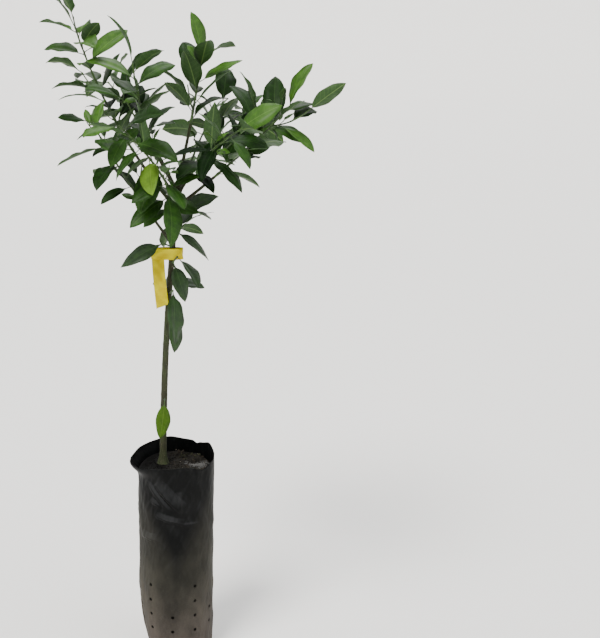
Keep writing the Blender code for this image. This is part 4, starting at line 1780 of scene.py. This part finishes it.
@dataclass
class NurseryBag:
    """The film bag: creased film, a flared and uneven lip, and drain holes cut through."""

    height: float = 0.320
    body_radius: float = 0.0555
    wall: float = 0.0010
    fold: float = 0.0011
    lip_height: float = 0.034
    lip_flare: float = 0.0125
    lip_drop: float = 0.006
    corner_height: float = 0.022
    corner_inset: float = 0.006
    slack_corner_height: float = 0.062
    slack_corner_inset: float = 0.013
    slack_degrees: float = 188.0
    tuck_depth: float = 0.008
    tuck_height: float = 0.115
    hole_radius: float = 0.0025
    hole_rows: int = 10
    hole_counts: tuple[int, int] = (2, 4)
    hole_pitch: float = 0.0240
    hole_lowest: float = 0.057
    first_row_degrees: float = -95.0
    columns: int = 300
    rows: int = 232
    inner_rows: int = 44
    inner_crowding: float = 1.6
    film: float = 0.00045
    seeded_creases: int = 30
    seed: int = 17
    billow: float = 0.0006
    crinkle: float = 0.00025
    flat_foot: float = 0.02
    full_ledge: float = 0.235
    hole_sides: int = 14
    pin_inside: float = 0.012
    pin_outside: float = 0.006

    def slack(self, turn: Field) -> Field:
        """How far a direction points to the slack, left side of the bag, from 0 to 1."""
        return np.maximum(0.0, np.cos(turn - math.radians(self.slack_degrees))) ** 1.5

    def lip(self, height: Field) -> Field:
        """How far a height is into the bag's flared lip, from 0 to 1."""
        return smooth((height - (self.height - self.lip_height)) / self.lip_height)

    def radius(self, turn: Field, height: Field) -> Field:
        """The outer radius of the filled bag.

        Args:
            turn: The direction, in radians from +X.
            height: Metres above the ground.

        Returns:
            The radius.
        """
        slack = self.slack(turn)
        corner = self.corner_height + (self.slack_corner_height - self.corner_height) * slack
        inset = self.corner_inset + (self.slack_corner_inset - self.corner_inset) * slack
        fall = np.maximum(0.0, 1 - height / corner)
        folds = np.sin(3 * turn + 9 * height) + 0.7 * np.sin(5 * turn - 14 * height + 1.0)
        filled = self.body_radius - inset * (1 - np.sqrt(1 - fall * fall))
        return filled + self.fold * folds + self.lip_flare * self.lip(height) ** 2 * slack

    def tuck(self, turn: Field, height: Field) -> Field:
        """How far the film's lower left corner is folded in past the solid's."""
        low = np.maximum(0.0, 1 - height / self.tuck_height)
        return self.tuck_depth * smooth(low) * self.slack(turn)

    def rings(self, turn: np.ndarray, height: np.ndarray, off: Field, rim: Field = 0.0) -> Rings:
        """Rings of places on the bag.

        Args:
            turn: Directions, ring by ring.
            height: Heights up the film, before the lip sinks.
            off: How far out of the filled and tucked bag.
            rim: How much higher the rim is.

        Returns:
            The rings, from the first height to the last.
        """
        radius = self.radius(turn, height) - self.tuck(turn, height) + off
        z = height + self.lip(height) * (rim - self.lip_drop * self.slack(turn))
        places = np.stack([radius * np.cos(turn), radius * np.sin(turn), z], axis=-1)
        return [[Vector(point) for point in row] for row in places]

    def creases(self) -> list[Crease]:
        """The front's creases and many small seeded ones all round, steep on the body.

        Returns:
            The creases, the front's first.
        """
        rng = random.Random(self.seed)
        made = list(FRONT_CREASES)
        for _ in range(self.seeded_creases):
            upper = rng.random() < 0.5
            height = rng.uniform(0.19, 0.305) if upper else rng.uniform(0.03, 0.19)
            slope = rng.uniform(-75, -15) if upper else rng.uniform(60, 120)
            depth, length = rng.uniform(0.0003, 0.0013), rng.uniform(0.03, 0.09)
            above, below = rng.uniform(0.006, 0.014), rng.uniform(0.004, 0.009)
            made.append(Crease(rng.uniform(-12, 200), height, slope, length, depth, above, below))
        return made

    def relief(self, turn: np.ndarray, height: np.ndarray) -> np.ndarray:
        """How far the film stands off the filled bag.

        Args:
            turn: Directions, in radians.
            height: Heights, in metres.

        Returns:
            The offsets, in metres.
        """
        total = self.billow * ripple(2.0 * turn, 13 * height, 1.5 * turn + 9 * height, 0.7)
        total = total + self.crinkle * ripple(6.0 * turn, 40 * height, 5.0 * turn - 30 * height, 2.9)
        for crease in self.creases():
            total = total + crease.rise(turn, height, self.body_radius)
        return total * smooth(height / self.flat_foot)

    def grid(self, heights: np.ndarray) -> list[np.ndarray]:
        """The direction and the height of each of the film's points, ring by ring."""
        return np.meshgrid(np.linspace(-math.pi, math.pi, self.columns, endpoint=False), heights)

    def film_rings(self, heights: np.ndarray, inwards: float) -> Rings:
        """Rings of the creased film with its uneven rim.

        Args:
            heights: The rings' heights up the film.
            inwards: How far inside the outer face.

        Returns:
            The rings, from the first height to the last.
        """
        turn, height = self.grid(heights)
        rim = 0.0007 * np.sin(3 * turn + 1.0) + 0.0005 * np.sin(8 * turn)
        for fold in RIM_FOLDS:
            rim = rim + fold.rise * np.exp(-((turned_from(turn, fold.turn) / math.radians(fold.reach)) ** 2))
        return self.rings(turn, height, self.relief(turn, height) - inwards, rim)

    def ledges(self, heights: np.ndarray) -> np.ndarray:
        """How far the film faces up.

        Args:
            heights: The rings' heights up the film.

        Returns:
            A share from 0 to 1 for each place, ring by ring.
        """
        turn, height = self.grid(heights)
        fall = (self.relief(turn, height - MM) - self.relief(turn, height + MM)) / (2 * MM)
        return np.clip(fall / self.full_ledge, 0.0, 1.0)

    def build(self) -> None:
        """Makes the bag's piece."""
        height = self.height
        outer = np.linspace(0.0, height, self.rows)
        inner = height - (height - self.film) * np.linspace(0.0, 1.0, self.inner_rows) ** self.inner_crowding
        rings = self.film_rings(outer, 0.0) + self.film_rings(inner, self.film)
        bag = piece_of(lofted(rings), "bag_film", BagFilm().make())
        ledge = np.zeros(len(bag.data.vertices))
        ledge[: outer.size * self.columns] = self.ledges(outer).ravel()
        note_points(bag.data, "ledge", ledge)
        self.punch(bag)
        settle(bag, ["bag"])

    def punch(self, bag: Piece) -> None:
        """Cuts the drain holes. Their upright rows have two holes and four holes by turns.

        Args:
            bag: The bag's object.
        """
        drill = bmesh.new()
        for row in range(self.hole_rows):
            turn = math.radians(self.first_row_degrees) + math.tau * row / self.hole_rows
            out = Vector((math.cos(turn), math.sin(turn), 0))
            for step in range(self.hole_counts[row % 2]):
                height = self.hole_lowest + self.hole_pitch * step
                middle = out * float(self.radius(turn, height)) + UP * height
                path = [middle - out * self.pin_inside, middle + out * self.pin_outside]
                join(drill, tube(path, [self.hole_radius] * 2, self.hole_sides))
        cutter = piece_of(drill, "drill")
        cut = bag.modifiers.new("Holes", "BOOLEAN")
        cut.operation = "DIFFERENCE"
        cut.solver = "EXACT"
        cut.object = cutter
        bake_modifiers(bag)
        bpy.data.objects.remove(cutter)


@dataclass(frozen=True)
class CrumbKind:
    """One kind of crumb on the soil: its finish, how many and how large."""

    name: str
    finish: PottingMix
    density: float
    size_mm: float
    seed: int
    near: Span = (0.0, 0.0)
    reach: float = 1.0


class CrumbScatter(NodeRecipe):
    """Scatters lumpy crumbs over a surface, each turned, flattened and sized at random."""

    FULL_SHARE = 0.4
    FULL_TURN = (6.28, 6.28, 6.28)
    SLIGHTEST = (0.35, 0.35, 0.25)
    STOUTEST = (1.45, 1.15, 0.75)
    SHAPE_SEED = 7
    LUMP_SCALE = 900.0
    LUMP_DEPTH = 0.0018

    def __init__(self) -> None:
        """Builds the tree. Density falls off from near the middle of a patch to its reach."""
        patch = {"Near": (0.0, 0.0, 0.0), "Reach": 1.0}
        super().__init__("crumb_scatter", Density=20000.0, Size=0.0015, Seed=1, Material=None, **patch)
        add, given = self.add, self.given
        away = add(V_AWAY, add(PLACE), given["Near"]).outputs["Value"]
        near = add(RANGE, away, given["Reach"], add(TIMES, given["Reach"], self.FULL_SHARE))
        dense = add(TIMES, near, given["Density"])
        spread = {"Mesh": given["Geometry"], "Density": dense, "Seed": given["Seed"]}
        points = add("GeometryNodeDistributePointsOnFaces", spread).outputs[0]
        lump = add("GeometryNodeMeshIcoSphere", {"Radius": 1.0, "Subdivisions": 2}).outputs[0]
        turn = add(RANDOM, (0.0, 0.0, 0.0), self.FULL_TURN, given["Seed"])
        size = add(V_SCALE, add(RANDOM, self.SLIGHTEST, self.STOUTEST, self.SHAPE_SEED), given["Size"])
        real = add(REALIZE, add(SCATTER, points, lump, turn, size))
        noise = add(NOISE, {"Scale": self.LUMP_SCALE, "Detail": 1.0}).outputs["Color"]
        shift = add(V_SCALE, add(V_MINUS, noise, (0.5, 0.5, 0.5)), self.LUMP_DEPTH)
        self.close(add(PAINT, add(REALIZE, add(MOVE, real, shift)), given["Material"]))

    def strew(self, piece: Piece, kind: CrumbKind, level: float) -> None:
        """Replaces a surface, whose middle lies at a level, by the crumbs on it."""
        sizes = {"Density": kind.density, "Size": kind.size_mm * MM, "Seed": kind.seed, "Reach": kind.reach}
        self.run(piece, Near=(*kind.near, level), Material=kind.finish.make(), **sizes)


BARK_BITS = PottingMix("composted_bark_bits", dark="#191510", light="#37322A")
PALE_GRIT = PottingMix("pale_grit", dark="#4A463F", light="#7C766D")
DRY_SILT = PottingMix("dry_grey_silt", dark="#3A3A3A", light="#5E5D5C")
MOSS_BITS = PottingMix("green_brown_moss_bits", dark="#17180F", light="#393A2B")
CRUMBS: tuple[CrumbKind, ...] = (
    CrumbKind("soil_crumbs", PottingMix(), 30000.0, 1.6, 11),
    CrumbKind("soil_bark_bits", BARK_BITS, 7000.0, 2.2, 23),
    CrumbKind("soil_grit", PALE_GRIT, 1800.0, 0.8, 5),
    CrumbKind("soil_dry_clod", DRY_SILT, 260000.0, 1.2, 31, near=(0.031, -0.003), reach=0.021),
    CrumbKind("soil_moss_bits", MOSS_BITS, 26000.0, 2.6, 43, near=(0.021, 0.034), reach=0.020),
)


@dataclass
class SoilTop:
    """The potting mix: a lumpy top, and loose crumbs and grit scattered on it."""

    bag: NurseryBag
    trunk: TrunkForm
    level: float = 0.304
    brim: float = 0.302
    ring_shares: Row = (0.0, 0.012, 0.035, 0.075, 0.13, 0.21, 0.35, 0.50, 0.65, 0.80, 0.90)
    uneven: float = 0.0035
    seat: float = 0.022
    clod: float = 0.0011
    clod_from: float = 0.008
    clod_blend: float = 0.012
    slip: float = 0.0022
    left_drop: float = 0.009
    left_edge: float = -0.016
    left_blend: float = 0.028
    top_rings: int = 46
    brim_blend: float = 6.0
    columns: int = 128
    crumb_rings: int = 30
    crumb_reach: float = 0.94

    def height(self, x: float, y: float) -> float:
        """The height of the soil's top: lumpy, and level where the trunk stands.

        Args:
            x: How far to the right.
            y: How far back.

        Returns:
            The height.
        """
        away = math.hypot(x - self.trunk.foot.x, y - self.trunk.foot.y)
        lumps = math.sin(130 * x + 1.0) * math.sin(150 * y + 0.4) - 0.3
        flat = self.level + self.uneven * lumps * float(smooth((away - self.seat) / self.seat))
        clod = ripple(55 * x, 55 * y, 20 * (x - y), 1.3) + 0.6 * ripple(130 * x, 120 * y, 90 * x, 4.1)
        low = self.left_drop * float(smooth((self.left_edge - x) / self.left_blend))
        lumpy = float(smooth((away - self.clod_from) / self.clod_blend))
        return flat - low + self.clod * float(clod) * lumpy

    def build(self) -> None:
        """Makes the soil's piece and the crumbs on it."""
        gap = self.bag.wall + CLEARANCE
        heights = [gap + (self.bag.height - gap) * share for share in self.ring_shares] + [self.brim]
        rings = self.bag.rings(*np.meshgrid(round_turns(self.columns), heights), -gap - self.slip)
        brim = rings[-1]
        for step in range(1, self.top_rings):
            share = 1 - step / self.top_rings
            blend = float(smooth((1 - share) * self.brim_blend))
            places = [(edge.x * share, edge.y * share, edge.z * (1 - blend)) for edge in brim]
            rings.append([Vector((x, y, z + self.height(x, y) * blend)) for x, y, z in places])
        settle(piece_of(lofted(rings), "soil_mix", PottingMix().make()), ["soil"])
        scatter = CrumbScatter()
        for kind in CRUMBS:
            piece = self.surface(brim, kind.name)
            scatter.strew(piece, kind, self.level)
            settle(piece, [])

    def surface(self, brim: list[Vector], name: str) -> Piece:
        """An open copy of the soil's top, for crumbs to be scattered on.

        Args:
            brim: The soil's outer edge.
            name: The object's name.

        Returns:
            The object.
        """
        ground = bmesh.new()
        loops = []
        for step in range(1, self.crumb_rings + 1):
            share = self.crumb_reach * step / self.crumb_rings
            edges = [(edge.x * share, edge.y * share) for edge in brim[::2]]
            loops.append([ground.verts.new((x, y, self.height(x, y))) for x, y in edges])
        add_walls(ground, loops, facing_up=True)
        return piece_of(ground, name)


@dataclass
class LabelTape:
    """The yellow label tape: a band with soft creases and a tail that hangs and curls."""

    trunk: TrunkForm
    width: float = 0.016
    thickness: float = 0.0008
    top: float = 0.6285
    right: float = 0.0100
    left: float = -0.0345
    depth: float = 0.0062
    shoulder: float = 0.55
    shoulder_depth: float = 0.8
    tail_width: float = 0.0175
    tail_length: float = 0.084
    tail_swing: float = 0.007
    tail_forward: float = 0.0066
    tail_twist: float = 0.001
    film: float = 0.00022
    band_steps: int = 10
    band_rows: int = 9
    tail_rows: int = 70
    tail_columns: int = 14
    end_slant: float = 0.0032
    edge_curl: float = 0.0016

    def band_line(self) -> list[Vector]:
        """The band's line seen from above, at its top edge.

        Returns:
            Its points, from the tail's back to its front.
        """
        centre = self.trunk.point(self.top - self.width / 2)
        left, right = self.left - centre.x, self.right - centre.x
        shoulder = Vector((left * self.shoulder, self.depth * self.shoulder_depth, 0))
        line = [Vector((left, -self.thickness, 0)), shoulder * Vector((1, -1, 0))]
        for degrees in range(-90, 91, 30):
            turn = math.radians(degrees)
            line.append(Vector((right * math.cos(turn), self.depth * math.sin(turn), 0)))
        line += [shoulder, Vector((left, self.thickness, 0))]
        top = Vector((centre.x, centre.y, self.top))
        return [top + point for point in line]

    def tail_middle(self, share: float) -> Vector:
        """The middle of the tail.

        Args:
            share: How far down the tail, from 0 to 1.

        Returns:
            The place.
        """
        x = self.left + self.tail_width / 2 + self.tail_swing * share**1.5
        y = self.trunk.point(self.top).y - self.tail_forward * smooth(1.6 * share)
        return Vector((x, y, self.top - self.tail_length * share))

    def strip_ring(self, middles: list[Vector], out: Vector) -> list[Vector]:
        """One ring of a thin strip, round the points of its middle surface."""
        half = out * self.film
        return [point + half for point in middles] + [point - half for point in middles[::-1]]

    def band_rings(self) -> Rings:
        """The band: a thin upright strip along a smooth line.

        Returns:
            Its rings, along the line.
        """
        coarse = self.band_line()
        line = Strand(coarse, [0.0] * len(coarse)).finer(self.band_steps).path
        rings = []
        for index, point in enumerate(line):
            along = heading(line, index)
            out = Vector((along.y, -along.x, 0)).normalized()
            share = index / (len(line) - 1)
            middles = []
            for row in range(self.band_rows):
                down = row / (self.band_rows - 1)
                bow = 0.0009 * math.sin(share * 19 + 2.5 * down) * math.sin(math.pi * down)
                bow += 0.0004 * math.sin(share * 47 + 9 * down)
                middles.append(point - UP * (self.width * down) + out * bow)
            rings.append(self.strip_ring(middles, out))
        return rings

    def tail_rings(self) -> Rings:
        """The tail: a thin strip that ripples and curls at its edges, cut aslant at its end.

        Returns:
            Its rings, from the top down.
        """
        forward = Vector((0, -1, 0))
        rings = []
        for row in range(self.tail_rows + 1):
            share = row / self.tail_rows
            middles = []
            for column in range(self.tail_columns + 1):
                t = -1 + 2 * column / self.tail_columns
                rise = self.end_slant * share**4 * (t + 0.4)
                bow = 0.0009 * math.sin(9 * share + 2 * t) + 0.0005 * math.sin(27 * share - 4 * t)
                bow += self.edge_curl * t * t * (0.3 + share)
                sideways = Vector((t * self.tail_width / 2, -self.tail_twist * t, rise))
                middles.append(self.tail_middle(share) + sideways + forward * bow)
            rings.append(self.strip_ring(middles, forward))
        return rings

    def build(self) -> None:
        """Makes the tape's piece."""
        body = lofted(self.band_rings())
        join(body, lofted(self.tail_rings()))
        settle(piece_of(body, "label_tape_vinyl", TapeVinyl().make()), ["label_tape"])


# Studio


@dataclass(frozen=True)
class SoftLamp:
    """One large far lamp with soft edges: where it stands seen from the plant, how strong and how wide.

    Azimuth is in degrees from the viewer's side, positive to the right. Spread is in degrees too.
    """

    name: str
    azimuth: float
    elevation: float
    strength: float
    spread: float
    tint: str = "#FFFFFF"

    def build(self) -> None:
        """Makes the lamp."""
        data = bpy.data.lights.new(self.name, "SUN")
        data.energy = self.strength
        data.angle = math.radians(self.spread)
        data.color = linear(self.tint)[:3]
        turn, rise = math.radians(self.azimuth - 90), math.radians(self.elevation)
        place = Vector((math.cos(turn) * math.cos(rise), math.sin(turn) * math.cos(rise), math.sin(rise)))
        lamp = link(data, self.name)
        lamp.location = place * 3
        lamp.rotation_euler = place.to_track_quat("Z", "Y").to_euler()


@dataclass(frozen=True)
class Studio:
    """The floor, the lamps and the camera at the photograph's viewing angle."""

    camera_back: float = 1.50
    camera_height: float = 0.956
    camera_pitch: float = 16.0
    sensor_width: float = 36.0
    focal_pixels: float = 1100.0
    axis_pixel: float = 176.0
    image_width: int = 600
    image_height: int = 638
    floor_radii: Row = (0.5, 3.0, 6.0)
    floor_radius: float = 9.5
    floor_sides: int = 96
    wall_height: float = 4.5
    sweep_steps: int = 24
    sky_strength: float = 0.62

    def build(self) -> None:
        """Makes the studio."""
        self.floor()
        self.sky()
        SoftLamp("key_lamp", -38, 52, 4.2, 24, "#FFFDF8").build()
        SoftLamp("fill_lamp", 60, 40, 0.9, 50, "#F7FAFF").build()
        SoftLamp("back_lamp", 170, 50, 1.3, 40).build()
        self.camera()

    def floor(self) -> None:
        """Lays a round pale floor whose edge sweeps up into a low wall, so that no horizon shows."""
        outline = [(radius, 0.0) for radius in self.floor_radii]
        for step in range(self.sweep_steps + 1):
            turn = math.pi / 2 * step / self.sweep_steps
            reach = self.floor_radius + self.wall_height * math.sin(turn)
            outline.append((reach, self.wall_height * (1 - math.cos(turn))))
        body = bmesh.new()
        turns = round_turns(self.floor_sides)
        loops = [[body.verts.new((r * math.cos(a), r * math.sin(a), z)) for a in turns] for r, z in outline]
        body.faces.new(loops[0])
        add_walls(body, loops, facing_up=True)
        piece_of(body, "studio_floor", StudioPaper().make())

    def sky(self) -> None:
        """Fills the studio with even white light."""
        world = bpy.data.worlds.new("studio_white")
        world.use_nodes = True
        back = world.node_tree.nodes["Background"]
        plug(back.inputs["Color"], "#FFFFFF")
        plug(back.inputs["Strength"], self.sky_strength)
        bpy.context.scene.world = world

    def camera(self) -> None:
        """Sets the camera where the photograph was taken from."""
        data = bpy.data.cameras.new("camera")
        data.sensor_width = self.sensor_width
        data.sensor_fit = "AUTO"
        data.lens = self.focal_pixels * self.sensor_width / self.image_height
        data.shift_x = (self.image_width / 2 - self.axis_pixel) / self.image_height
        camera = link(data, "camera")
        camera.location = (0.0, -self.camera_back, self.camera_height)
        camera.rotation_euler = (math.radians(90 - self.camera_pitch), 0.0, 0.0)
        bpy.context.scene.camera = camera


def main() -> None:
    """Builds every piece in order."""
    logging.basicConfig(level=logging.INFO, format="%(name)s %(message)s")
    trunk, bag = TrunkForm(), NurseryBag()
    shoots = GrowthRule(trunk).grow()
    LOG.info("grown: %d leaves", sum(len(shoot.leaves) for shoot in shoots))
    sweep = WoodSweep()
    Wood(trunk, sweep).build(shoots)
    Foliage(sweep).build(shoots)
    bag.build()
    SoilTop(bag, trunk).build()
    LabelTape(trunk).build()
    Studio().build()


if __name__ == "__main__":
    main()
